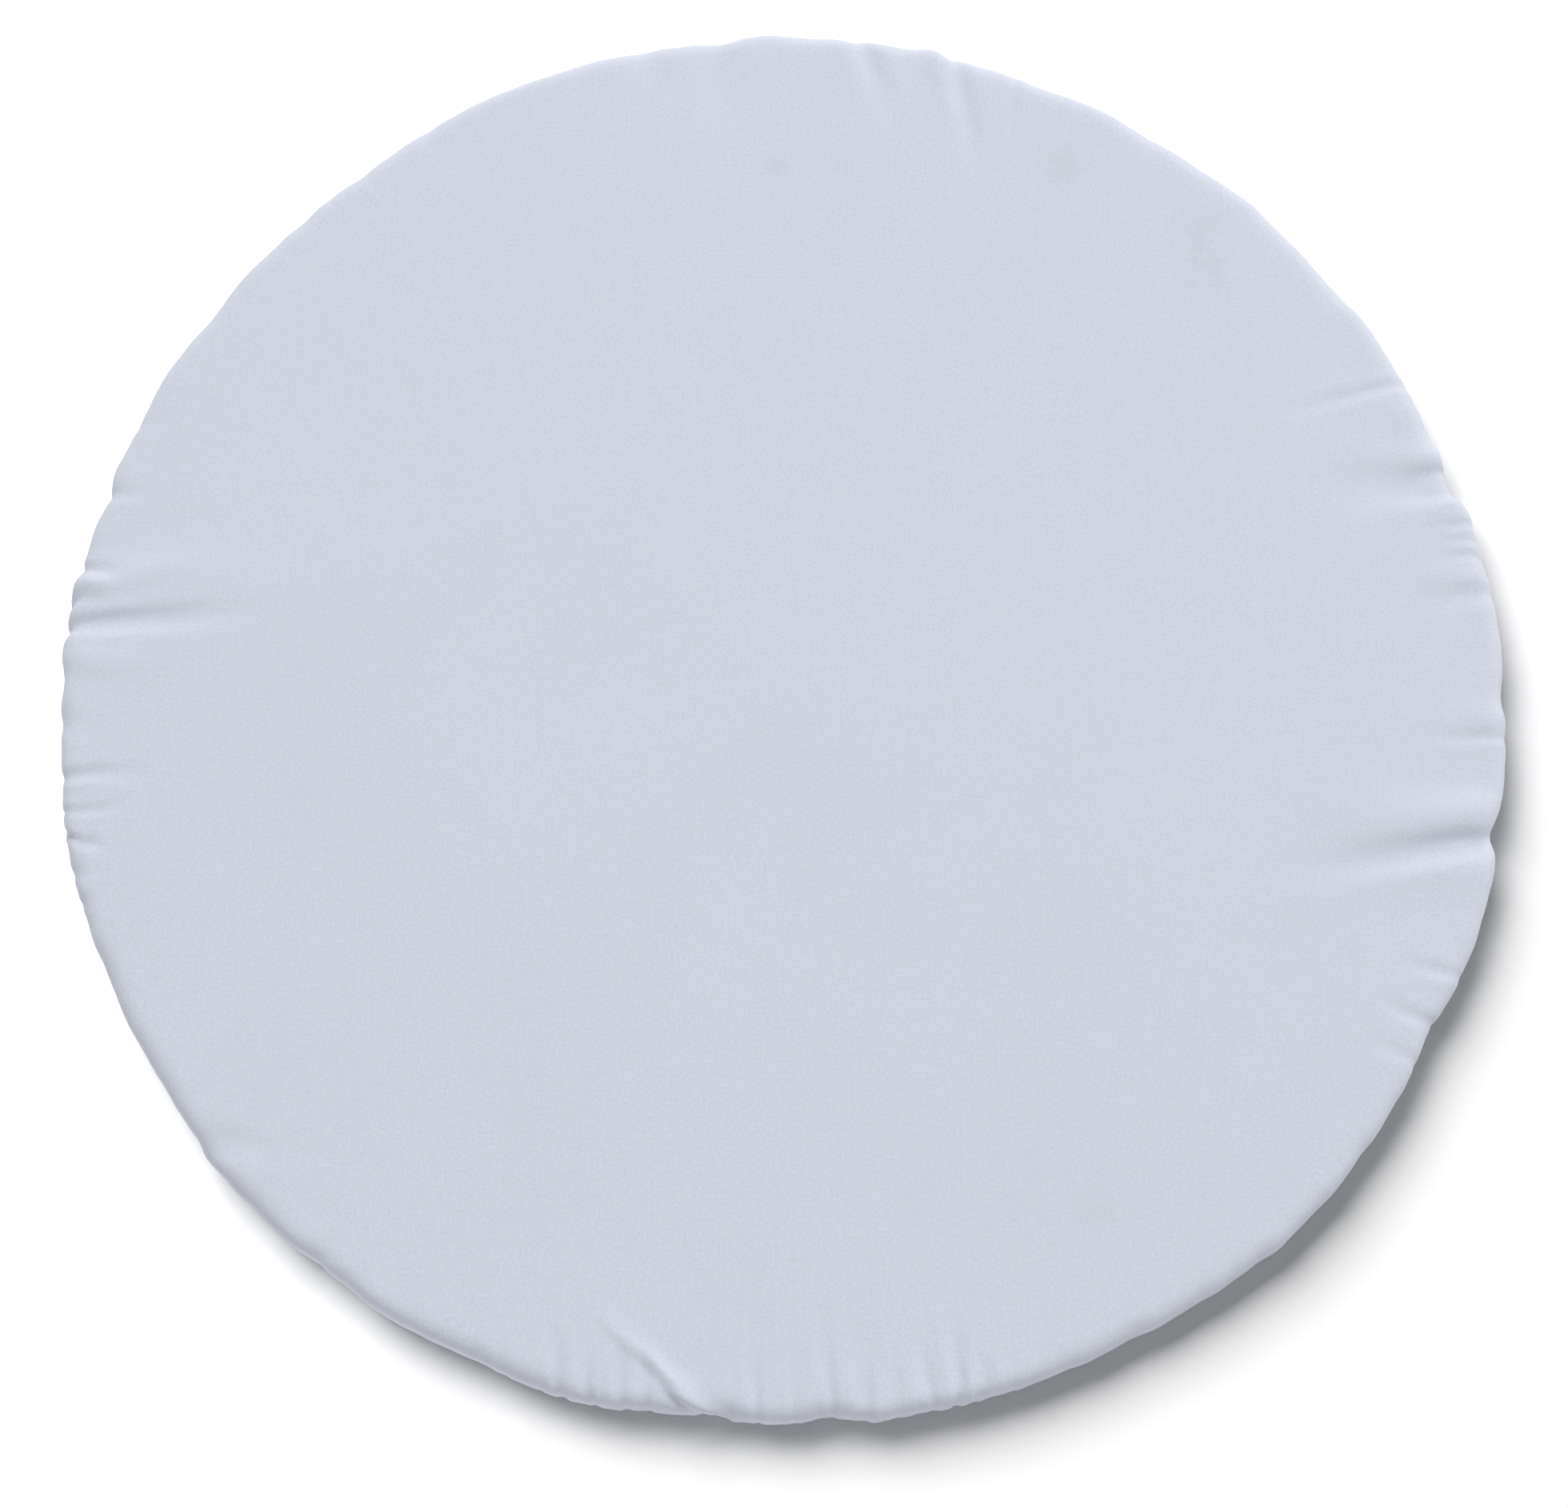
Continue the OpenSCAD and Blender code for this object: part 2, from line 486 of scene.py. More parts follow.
@dataclass(frozen=True)
class GatheredCotton(PlainWeave):
    """The slip cover's cotton: slubbed, softly mottled, creased towards its gathered rim."""

    crease_from: float = 345 * MM
    crease_to: float = 405 * MM
    crease_depth: float = 0.3 * MM
    creases_round: float = 48.0
    crease_slant: float = 16.0
    crease_sharpness: float = 7.0
    smudges: tuple[Smudge, ...] = (
        Smudge(-4, 314, 10),
        Smudge(160, 315, 24),
        Smudge(239, 261, 26, 1.8),
        Smudge(165, -289, 16),
    )

    def creases(self, recipe: Recipe, place: Link) -> Link:
        """Fine creases that run out to the rim, from 0 to 1.

        Args:
            recipe: The material's node tree.
            place: Where on the flat cloth, in metres.

        Returns:
            Height of the cloth, 0.5 where it has no crease.
        """
        radius = recipe.vector("LENGTH", place)
        outward = recipe.vector("NORMALIZE", place)
        around = recipe.vector("SCALE", outward, self.creases_round)
        slant = recipe.joined(0.0, 0.0, radius * self.crease_slant)
        value = recipe.noise(recipe.vector("ADD", around, slant), 1.0, 3.0)
        line = 1.0 - abs(value - 0.5) * self.crease_sharpness
        line = line.maths("MAXIMUM", line, 0.0)
        near_rim = radius.between(self.crease_from, self.crease_to)
        patchy = recipe.noise(place, 22.0, 1.0).between(0.45, 0.7)
        return 0.5 - 0.5 * (line * near_rim * patchy)

    def marks(self, recipe: Recipe, place: Link) -> Link:
        """How strong the faint marks are, from 0 to 1.

        Args:
            recipe: The material's node tree.
            place: Where on the flat cloth, in metres.

        Returns:
            The strength of the marks at each place.
        """
        total = None
        for smudge in self.smudges:
            centre = (smudge.x * MM, smudge.y * MM, 0.0)
            away = recipe.vector("SUBTRACT", place, centre)
            away = recipe.vector("MULTIPLY", away, (1.0, 1.0 / smudge.stretch, 1.0))
            spot = recipe.vector("LENGTH", away).between(smudge.radius * MM, 0.0)
            total = spot if total is None else total + spot
        cloudy = recipe.noise(place, 90.0, 4.0).between(0.2, 0.8)
        return total * cloudy

    def build(self, recipe: Recipe) -> bpy.types.Material:
        """Cotton with slubs, mottling, marks and rim creases.

        Args:
            recipe: The material's node tree.

        Returns:
            The finished material.
        """
        place = recipe.cut_place()
        slubs = self.slubs(recipe, place)
        clouds = recipe.noise(place, 9.0, 3.0).between(0.3, 0.7)
        colour = recipe.mix(slubs.between(0.35, 0.65), self.shade(1.0), self.shade(1.04))
        colour = recipe.mix(clouds * 0.5, colour, self.shade(0.985))
        grain = recipe.noise(place, 620.0, 2.0).between(0.3, 0.7)
        colour = recipe.mix(grain * 0.6, colour, self.shade(0.9))
        colour = recipe.mix(self.marks(recipe, place) * 0.65, colour, self.shade(0.84))
        threads = recipe.bump(0.3 * self.weave(recipe, place) + 0.7 * slubs, self.slub_depth)
        return recipe.finish(
            Base_Color=colour,
            Roughness=self.roughness,
            Sheen_Weight=self.sheen,
            Normal=recipe.bump(self.creases(recipe, place), self.crease_depth, threads),
        )


@dataclass(frozen=True)
class Ripstop(PlainWeave):
    """Thin cloth with a square grid of thicker threads."""

    grid: float = 5.0 * MM

    def build(self, recipe: Recipe) -> bpy.types.Material:
        """Plain cloth with raised, slightly denser grid threads.

        Args:
            recipe: The material's node tree.

        Returns:
            The finished material.
        """
        place = recipe.cut_place()
        across, along, _ = recipe.axes(place)
        turns = math.pi / self.grid
        warp = abs((across * turns).sine()).between(0.12, 0.02)
        weft = abs((along * turns).sine()).between(0.12, 0.02)
        cord = warp.maths("MAXIMUM", warp, weft)
        clouds = recipe.noise(place, 14.0, 3.0)
        colour = recipe.mix(cord * 0.6, self.shade(1.0), self.shade(0.9))
        colour = recipe.mix(clouds.between(0.3, 0.8) * 0.5, colour, self.shade(0.94))
        height = 0.25 * self.weave(recipe, place) + 0.75 * cord
        return recipe.finish(
            Base_Color=colour,
            Roughness=0.62 + 0.12 * clouds,
            Sheen_Weight=self.sheen,
            Normal=recipe.bump(height, 0.12 * MM),
        )


@dataclass(frozen=True)
class RibbedWebbing(Finish):
    """Woven tape with ribs across it and a fine herringbone."""

    rib: float = 1.3 * MM
    depth: float = 0.25 * MM

    def build(self, recipe: Recipe) -> bpy.types.Material:
        """Ribs that zigzag, with painted shade in their hollows, a painted highlight on their
        crests and paler worn patches on the crests.

        Args:
            recipe: The material's node tree.

        Returns:
            The finished material.
        """
        place = recipe.cut_place()
        across, along, _ = recipe.axes(place)
        zigzag = abs((across * (math.pi / (3.2 * MM))).sine()) * (0.8 * MM)
        ribs = 0.5 + 0.5 * ((along + zigzag) * (math.tau / self.rib)).sine()
        yarn = recipe.noise(recipe.joined(across * 2600.0, along * 500.0, 0.0), 1.0, 2.0)
        worn = recipe.noise(place, 90.0, 3.0).between(0.45, 0.75)
        # colour follows the rib height: painted shade in the hollows and a painted highlight on the
        # crests; the worn patches below are real wear
        colour = recipe.mix(ribs * 0.7, self.shade(0.6), self.shade(1.5))
        colour = recipe.mix(worn * ribs * 0.5, colour, self.shade(3.0))
        height = 0.75 * ribs + 0.25 * yarn
        return recipe.finish(
            Base_Color=colour,
            Roughness=0.7 + 0.15 * yarn,
            Sheen_Weight=0.3,
            Normal=recipe.bump(height, self.depth),
        )


@dataclass(frozen=True)
class CoatedCloth(Finish):
    """Cloth with a thin rubbery coat and a fine grain."""

    def build(self, recipe: Recipe) -> bpy.types.Material:
        """A pebbled coat, scuffed in places.

        Args:
            recipe: The material's node tree.

        Returns:
            The finished material.
        """
        place = recipe.cut_place()
        grain = recipe.noise(place, 1500.0, 3.0)
        scuffs = recipe.noise(place, 120.0, 4.0).between(0.52, 0.75)
        return recipe.finish(
            Base_Color=recipe.mix(scuffs, self.shade(0.8), self.shade(2.4)),
            Roughness=0.45 + 0.3 * scuffs,
            Normal=recipe.bump(grain, 0.12 * MM),
        )


@dataclass(frozen=True)
class SewnThread(Finish):
    """Twisted sewing thread."""

    name: str = "sewing_thread"

    @property
    def title(self) -> str:
        """The name of the thread's material, one for each colour of thread."""
        return self.name

    def build(self, recipe: Recipe) -> bpy.types.Material:
        """Thread with a fine twist and small changes of tone.

        Args:
            recipe: The material's node tree.

        Returns:
            The finished material.
        """
        place = recipe.rest_place()
        tone = recipe.noise(place, 700.0, 2.0)
        twist = recipe.noise(place, 4200.0, 1.0)
        return recipe.finish(
            Base_Color=recipe.mix(tone.between(0.3, 0.7), self.shade(0.85), self.shade(1.1)),
            Roughness=0.55,
            Sheen_Weight=0.2,
            Normal=recipe.bump(twist, 0.06 * MM),
        )


@dataclass(frozen=True)
class BrushedMetal(Finish):
    """Metal with fine scratches, and a worn, duller film in places."""

    roughness: float = 0.3
    film: Colour = (0.3, 0.3, 0.3)
    film_share: float = 0.3

    def build(self, recipe: Recipe) -> bpy.types.Material:
        """Scratched metal under a patchy film.

        Args:
            recipe: The material's node tree.

        Returns:
            The finished material.
        """
        place = recipe.rest_place()
        x, y, z = recipe.axes(place)
        scratches = recipe.noise(recipe.joined(x * 6000.0, y * 600.0, z * 6000.0), 1.0, 2.0)
        film = recipe.noise(place, 260.0, 4.0).between(0.5, 0.72)
        return recipe.finish(
            Base_Color=recipe.mix(film * self.film_share, self.colour, self.film),
            Metallic=1.0,
            Roughness=self.roughness + 0.15 * scratches + 0.25 * film,
            Normal=recipe.bump(scratches, 0.015 * MM),
        )


@dataclass(frozen=True)
class CellFoam(Finish):
    """Closed-cell foam with a cut skin."""

    def build(self, recipe: Recipe) -> bpy.types.Material:
        """Small cells, with painted shade in their hollows.

        Args:
            recipe: The material's node tree.

        Returns:
            The finished material.
        """
        place = recipe.cut_place()
        values = {"Vector": place, "Scale": 900.0}
        cells = recipe.node("ShaderNodeTexVoronoi", {}, values, "Distance")
        return recipe.finish(
            # darker where the cells are low: painted shade in the hollows
            Base_Color=recipe.mix(cells.between(0.0, 0.6), self.shade(0.8), self.shade(1.08)),
            Roughness=0.95,
            Normal=recipe.bump(cells, 0.25 * MM),
        )


@dataclass(frozen=True)
class BraidedElastic(Finish):
    """Round elastic in a braided sleeve."""

    pick: float = 1.1 * MM

    def build(self, recipe: Recipe) -> bpy.types.Material:
        """Two crossing sets of raised yarns, with painted shade between them.

        Args:
            recipe: The material's node tree.

        Returns:
            The finished material.
        """
        around, along, _ = recipe.axes(recipe.cut_place())
        turns = math.tau / self.pick
        one = 0.5 + 0.5 * ((along + around) * turns).sine()
        other = 0.5 + 0.5 * ((along - around) * turns).sine()
        braid = one.maths("MAXIMUM", one, other)
        return recipe.finish(
            # darker where the braid is low: painted shade between the yarns
            Base_Color=recipe.mix(braid, self.shade(0.75), self.shade(1.05)),
            Roughness=0.75,
            Sheen_Weight=0.2,
            Normal=recipe.bump(braid, 0.3 * MM),
        )


@dataclass(frozen=True)
class Satin(Finish):
    """Blank woven satin ribbon."""

    def build(self, recipe: Recipe) -> bpy.types.Material:
        """Long floats with a soft gloss.

        Args:
            recipe: The material's node tree.

        Returns:
            The finished material.
        """
        place = recipe.cut_place()
        across, along, _ = recipe.axes(place)
        floats = recipe.noise(recipe.joined(across * 200.0, along * 5200.0, 0.0), 1.0, 2.0)
        return recipe.finish(
            Base_Color=recipe.mix(floats.between(0.3, 0.7), self.shade(0.93), self.shade(1.03)),
            Roughness=0.34 + 0.12 * floats,
            Sheen_Weight=0.2,
            Normal=recipe.bump(floats, 0.04 * MM),
        )


@dataclass(frozen=True)
class PaleFloor(Finish):
    """Plain pale studio floor."""

    glow: float = 0.035
    near: float = 1.3
    far: float = 4.0

    def build(self, recipe: Recipe) -> bpy.types.Material:
        """Matt pale paper that glows a little here and fully far off.

        Args:
            recipe: The material's node tree.

        Returns:
            The finished material.
        """
        away = recipe.vector("LENGTH", recipe.rest_place()).between(self.near, self.far)
        return recipe.finish(
            Base_Color=self.colour,
            Roughness=1.0,
            Specular_IOR_Level=0.0,
            Emission_Color=recipe.mix(away, (self.glow,) * 3, (1.0, 1.0, 1.0)),
            Emission_Strength=1.0,
        )


COTTON = GatheredCotton("white_cotton", (0.665, 0.695, 0.785))
RIPSTOP = Ripstop("base_cloth", (0.80, 0.81, 0.83))
TAPE = RibbedWebbing("tunnel_tape", (0.03, 0.03, 0.035), rib=0.9 * MM, depth=0.15 * MM)
WEBBING = RibbedWebbing("webbing", (0.03, 0.03, 0.035))
PATCH = CoatedCloth("patch_cloth", (0.035, 0.035, 0.04))
SATIN = Satin("label_satin", (0.88, 0.88, 0.88))
FOAM = CellFoam("foam", (0.55, 0.55, 0.54))
ELASTIC = BraidedElastic("elastic_cord", (0.85, 0.85, 0.84))
SPRING = BrushedMetal("spring_steel", (0.42, 0.44, 0.47), film=(0.16, 0.18, 0.26))
ZINC = BrushedMetal("zinc_steel", (0.62, 0.63, 0.65), roughness=0.36, film=(0.5, 0.5, 0.5))
BRASS = BrushedMetal("brass", (0.72, 0.56, 0.27), roughness=0.24, film=(0.3, 0.2, 0.09))
WHITE_THREAD = SewnThread("white_cotton", (0.78, 0.80, 0.87), "white_thread")
GREY_THREAD = SewnThread("webbing", (0.22, 0.22, 0.24), "grey_thread")


# ---- Meshes ----


def polar_faces(counts: Sequence[int]) -> Array:
    """Joins rings of points round a centre point into one sheet.

    Args:
        counts: Points in each ring from the centre out. A ring has as many as the ring
            inside it, or twice as many.

    Returns:
        One row of four point numbers for each face, looking up. A triangle repeats its
        last number. Point 0 is the centre, and the rings follow in order.
    """
    first = np.arange(counts[0])
    after = (first + 1) % counts[0]
    rows = [np.stack([0 * first, 1 + first, 1 + after, 1 + after], 1)]
    start = 1
    for inner, outer in zip(counts, counts[1:]):
        here = np.arange(inner)
        near, next_near = start + here, start + (here + 1) % inner
        far = start + inner
        if outer == inner:
            rows.append(np.stack([near, far + here, far + (here + 1) % outer, next_near], 1))
        else:
            a, b, c = far + 2 * here, far + 2 * here + 1, far + (2 * here + 2) % outer
            rows.append(np.stack([near, a, b, b], 1))
            rows.append(np.stack([near, b, next_near, next_near], 1))
            rows.append(np.stack([next_near, b, c, c], 1))
        start = far
    return np.concatenate(rows)


def ring_places(rings: Sequence[tuple[int, float]]) -> tuple[Array, Array]:
    """Spreads points over the rings of a round sheet.

    Args:
        rings: How many points each ring has, and its radius.

    Returns:
        The angle and radius of each point. Point 0 is the centre.
    """
    angle = np.concatenate([[0.0], *(math.tau * np.arange(n) / n for n, _ in rings)])
    radius = np.concatenate([[0.0], *(np.full(n, r) for n, r in rings)])
    return angle, radius


def ring_points(angle: Array, radius: Array, height: Array) -> Array:
    """The points at these angles, radii and heights."""
    return np.stack([radius * np.cos(angle), radius * np.sin(angle), height], 1)


def grid_faces(rows: int, columns: int, closed: bool = False) -> Array:
    """Joins rows of points into a sheet.

    Args:
        rows: How many rows there are.
        columns: How many points a row has.
        closed: True if each row runs round and meets itself.

    Returns:
        One row of four point numbers for each face.
    """
    steps = columns if closed else columns - 1
    i, j = np.meshgrid(np.arange(rows - 1), np.arange(steps), indexing="ij")
    here, beside = i * columns + j, i * columns + (j + 1) % columns
    return np.stack([here, beside, beside + columns, here + columns], -1).reshape(-1, 4)


@dataclass
class Skin:
    """A sheet of cloth as points, their places on the flat cloth, and faces."""

    points: Array
    cut: Array
    faces: Array
    normals: Optional[Array] = None

    def __post_init__(self) -> None:
        """Works out the points' normals, unless the sheet is a part of another."""
        if self.normals is None:
            a, b, c, d = (self.points[self.faces[:, k]] for k in range(4))
            across = np.cross(c - a, d - b)
            total = np.zeros_like(self.points)
            for k in range(3):
                np.add.at(total, self.faces[:, k], across)
            square = self.faces[:, 2] != self.faces[:, 3]
            np.add.at(total, self.faces[square, 3], across[square])
            size = np.linalg.norm(total, axis=1, keepdims=True)
            self.normals = total / np.maximum(size, TINY)

    def part(self, keep: Array) -> "Skin":
        """The faces that keep is true for, with their own points.

        Args:
            keep: True or false for each face.

        Returns:
            The kept part, with this sheet's normals.
        """
        faces = self.faces[keep]
        used, numbers = np.unique(faces, return_inverse=True)
        return Skin(
            self.points[used],
            self.cut[used],
            numbers.reshape(faces.shape),
            self.normals[used],
        )

    def half(self, side: "Side") -> "Skin":
        """The part left or right of the middle line."""
        middle = self.points[self.faces].mean(1)[:, 0]
        return self.part(middle * side.sign > 0)

    def thick(self, name: str, thickness: float) -> bpy.types.Object:
        """A closed piece with this sheet as its outer side.

        Args:
            name: The piece's name.
            thickness: How far its inner side lies behind it.

        Returns:
            The new object. Its normals are this sheet's, so the halves of one cloth
            meet without a line.
        """
        count = len(self.points)
        ends = self.faces
        square = (ends[:, 2] != ends[:, 3])[:, None]
        pairs = np.concatenate([ends[:, [k, (k + 1) % 4]] for k in range(4)])
        pairs = pairs[pairs[:, 0] != pairs[:, 1]]
        code, back = pairs @ [count, 1], pairs @ [1, count]
        rim = pairs[~np.isin(code, back)]
        walls = np.stack([rim[:, 1], rim[:, 0], rim[:, 0] + count, rim[:, 1] + count], 1)
        inner = np.where(square, ends[:, ::-1], ends[:, [2, 1, 0, 0]]) + count
        points = np.concatenate([self.points, self.points - self.normals * thickness])
        a, b, c, d = (points[walls[:, k]] for k in range(4))
        across = np.cross(c - a, d - b)
        across /= np.maximum(np.linalg.norm(across, axis=1, keepdims=True), TINY)
        every = np.concatenate([self.normals, -self.normals])
        faces, normals = [], []
        for row in (ends, inner):
            for face in row.tolist():
                corner = face if face[2] != face[3] else face[:3]
                faces.append(corner)
                normals.extend(corner)
        lit = np.concatenate([every[normals], np.repeat(across, 4, axis=0)])
        faces += walls.tolist()
        return make_piece(name, points, faces, np.concatenate([self.cut, self.cut]), lit)


def make_piece(
    name: str, points: Array, faces: list, cut: Array, normals: Optional[Array] = None
) -> bpy.types.Object:
    """Makes an object from points and faces.

    Args:
        name: The piece's name.
        points: Its points in the row frame, in metres.
        faces: The point numbers of each face.
        cut: Each point's place on the flat cloth.
        normals: A normal for each corner of each face, or None for the mesh's own.

    Returns:
        The new object, linked to the scene.
    """
    mesh = bpy.data.meshes.new(name)
    mesh.from_pydata(points.tolist(), [], faces)
    mesh.shade_smooth()
    place = mesh.attributes.new(CUT, "FLOAT_VECTOR", "POINT")
    place.data.foreach_set("vector", cut.astype(np.float32).ravel())
    if normals is not None:
        mesh.normals_split_custom_set(normals)
    piece = bpy.data.objects.new(name, mesh)
    bpy.context.scene.collection.objects.link(piece)
    return piece


def sew(name: str, centres: Array, along: Array, up: Array, length: float) -> bpy.types.Object:
    """Makes a row of stitches that dip into the cloth at both ends.

    Args:
        name: The piece's name.
        centres: The middle of each stitch on the cloth.
        along: The way each stitch runs, one unit long.
        up: The way out of the cloth at each stitch, one unit long.
        length: The length of a stitch.

    Returns:
        The new object.
    """
    sides, thread = 6, 0.21 * MM
    sections = ((-0.5, 0.45, -0.6), (-0.25, 1.0, 0.5), (0.25, 1.0, 0.5), (0.5, 0.45, -0.6))
    across = np.cross(up, along)
    rings = []
    for place, width, lift in sections:
        middle = centres + along * place * length + up * lift * thread
        for k in range(sides):
            turn = math.tau * k / sides
            way = across * math.cos(turn) + up * math.sin(turn)
            rings.append(middle + way * width * thread)
    points = np.stack(rings, 1).reshape(-1, 3)
    one = [list(row) for row in grid_faces(4, sides, closed=True)]
    one += [list(range(sides))[::-1], list(range(3 * sides, 4 * sides))]
    size = 4 * sides
    faces = [[n + size * k for n in face] for k in range(len(centres)) for face in one]
    return make_piece(name, points, faces, points)


def stitch_line(start: Array, end: Array, pitch: float) -> tuple[Array, Array]:
    """Places stitches along a straight seam.

    Args:
        start: Where the seam starts.
        end: Where it ends.
        pitch: The distance from stitch to stitch.

    Returns:
        The middle of each stitch and the way it runs.
    """
    start, end = np.asarray(start, float), np.asarray(end, float)
    length = float(np.linalg.norm(end - start))
    count = max(1, round(length / pitch))
    share = (np.arange(count) + 0.5) / count
    along = (end - start) / length
    return start + np.outer(share * length, along), np.repeat(along[None], count, 0)


def seam_corners(low: Vector, high: Vector, edge: float) -> list[Corner]:
    """The corners of a seam on the underside of a plate, edge inside its outline."""
    x0, x1, y0, y1 = low.x + edge, high.x - edge, low.y + edge, high.y - edge
    return [(x0, y0, low.z), (x1, y0, low.z), (x1, y1, low.z), (x0, y1, low.z)]


def sew_under(
    name: str, runs: Sequence[tuple[Corner, Corner]], pitch: float, length: float
) -> bpy.types.Object:
    """Stitches along straight runs that face down.

    Args:
        name: The piece's name.
        runs: Where each run starts and ends.
        pitch: The distance from stitch to stitch.
        length: The length of a stitch.

    Returns:
        The new object.
    """
    lines = [stitch_line(start, end, pitch) for start, end in runs]
    centres = np.concatenate([line[0] for line in lines])
    along = np.concatenate([line[1] for line in lines])
    down = np.tile([0.0, 0.0, -1.0], (len(centres), 1))
    return sew(name, centres, along, down, length)


class Side(Enum):
    """The two wings of the panel."""

    LEFT = "left"
    RIGHT = "right"

    @property
    def sign(self) -> int:
        """-1 for the left wing and 1 for the right one."""
        return -1 if self is Side.LEFT else 1

    @property
    def wing(self) -> str:
        """The body of this wing."""
        return f"{self.value}_wing"

    def nodes(self, *stems: str) -> list[str]:
        """The CAD nodes of this side and of the middle strip, by the start of their names."""
        return [f"{stem}_{end}" for stem in stems for end in (self.value, "strip")]

    def hang(self, piece: bpy.types.Object) -> bpy.types.Object:
        """Bakes a half piece's transform into its mesh, the same for both wings.

        Args:
            piece: A piece that lies on this side of the middle line.

        Returns:
            The same piece.
        """
        if self is Side.LEFT:
            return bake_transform(piece)
        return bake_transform(piece)


def ring_half(
    name: str,
    profile: Sequence[tuple[float, float]],
    side: Side,
    steps: int,
    shift: Optional[Callable[[Array, Array], Array]] = None,
) -> bpy.types.Object:
    """Sweeps a closed section round one half of the panel.

    Args:
        name: The piece's name.
        profile: The section's radius and height at each corner.
        side: Which half is made.
        steps: How many lengths the half ring has.
        shift: A function of angle and radius that moves points outwards, or None.

    Returns:
        The new closed piece.
    """
    section = np.array(profile)
    turn = math.pi / 2 - side.sign * np.linspace(0.0, math.pi, steps + 1)
    angle = np.repeat(turn, len(section))
    radius, height = np.tile(section.T, steps + 1)
    if shift is not None:
        radius = radius + shift(angle, radius)
    points = ring_points(angle, radius, height)
    points[np.abs(points[:, 0]) < ON_LINE, 0] = 0.0
    edges = np.linalg.norm(np.roll(section, -1, 0) - section, axis=1)
    around = np.tile(np.concatenate([[0.0], np.cumsum(edges)[:-1]]), steps + 1)
    cut = np.stack([around, angle * section[:, 0].mean(), 0 * angle], 1)
    faces = grid_faces(steps + 1, len(section), closed=True)
    flip = side is Side.LEFT
    rows = (faces[:, ::-1] if flip else faces).tolist()
    caps = [list(range(len(section))), list(range(steps * len(section), len(points)))]
    rows += [caps[0] if flip else caps[0][::-1], caps[1][::-1] if flip else caps[1]]
    return make_piece(name, points, rows, cut)


def rounded(
    centre: tuple[float, float],
    half_width: float,
    half_height: float,
    corner: float,
    steps: int = 4,
) -> list[tuple[float, float]]:
    """The outline of a rectangle with round corners, as radius and height.

    Args:
        centre: Radius and height of its middle.
        half_width: Half its width.
        half_height: Half its height.
        corner: Radius of its corners.
        steps: Lengths in each corner.

    Returns:
        The points of the outline, in order.
    """
    outline = []
    for sx, sy, start in ((1, -1, -90), (1, 1, 0), (-1, 1, 90), (-1, -1, 180)):
        for k in range(steps + 1):
            turn = math.radians(start + 90 * k / steps)
            outline.append(
                (
                    centre[0] + sx * (half_width - corner) + corner * math.cos(turn),
                    centre[1] + sy * (half_height - corner) + corner * math.sin(turn),
                )
            )
    return outline


# ---- The slip cover ----


class FoldKind(Enum):
    """How the cloth lies across a fold."""

    GROOVE = "groove"
    PUFF = "puff"
    LAP = "lap"

    def across(self, place: Array) -> Array:
        """Height across the fold, with place in fold widths from its middle.

        Args:
            place: Distance from the fold's middle, in fold widths.

        Returns:
            The height there, for a fold of depth 1.
        """
        if self is FoldKind.GROOVE:
            return -(1.0 - place**2) * np.exp(-(place**2) / 1.2)
        if self is FoldKind.PUFF:
            return np.exp(-(place**2))
        return np.exp(-(place**2) / 3.0) / (1.0 + np.exp(np.clip(-7.0 * place, -40, 40)))


@dataclass(frozen=True)
class Fold:
    """A fold of the cover that runs in from the rim.

    angle is in degrees round the panel from +X, reach, width and depth are in
    millimetres, and lean is how many degrees its inner end lies ahead.
    """

    angle: float
    reach: float
    width: float
    depth: float
    lean: float = 0.0
    kind: FoldKind = FoldKind.GROOVE


@dataclass(frozen=True)
class Bulge:
    """A soft place where the rim stands out, or in if height is negative."""

    angle: float
    spread: float
    height: float


GROOVE, PUFF, LAP = FoldKind.GROOVE, FoldKind.PUFF, FoldKind.LAP

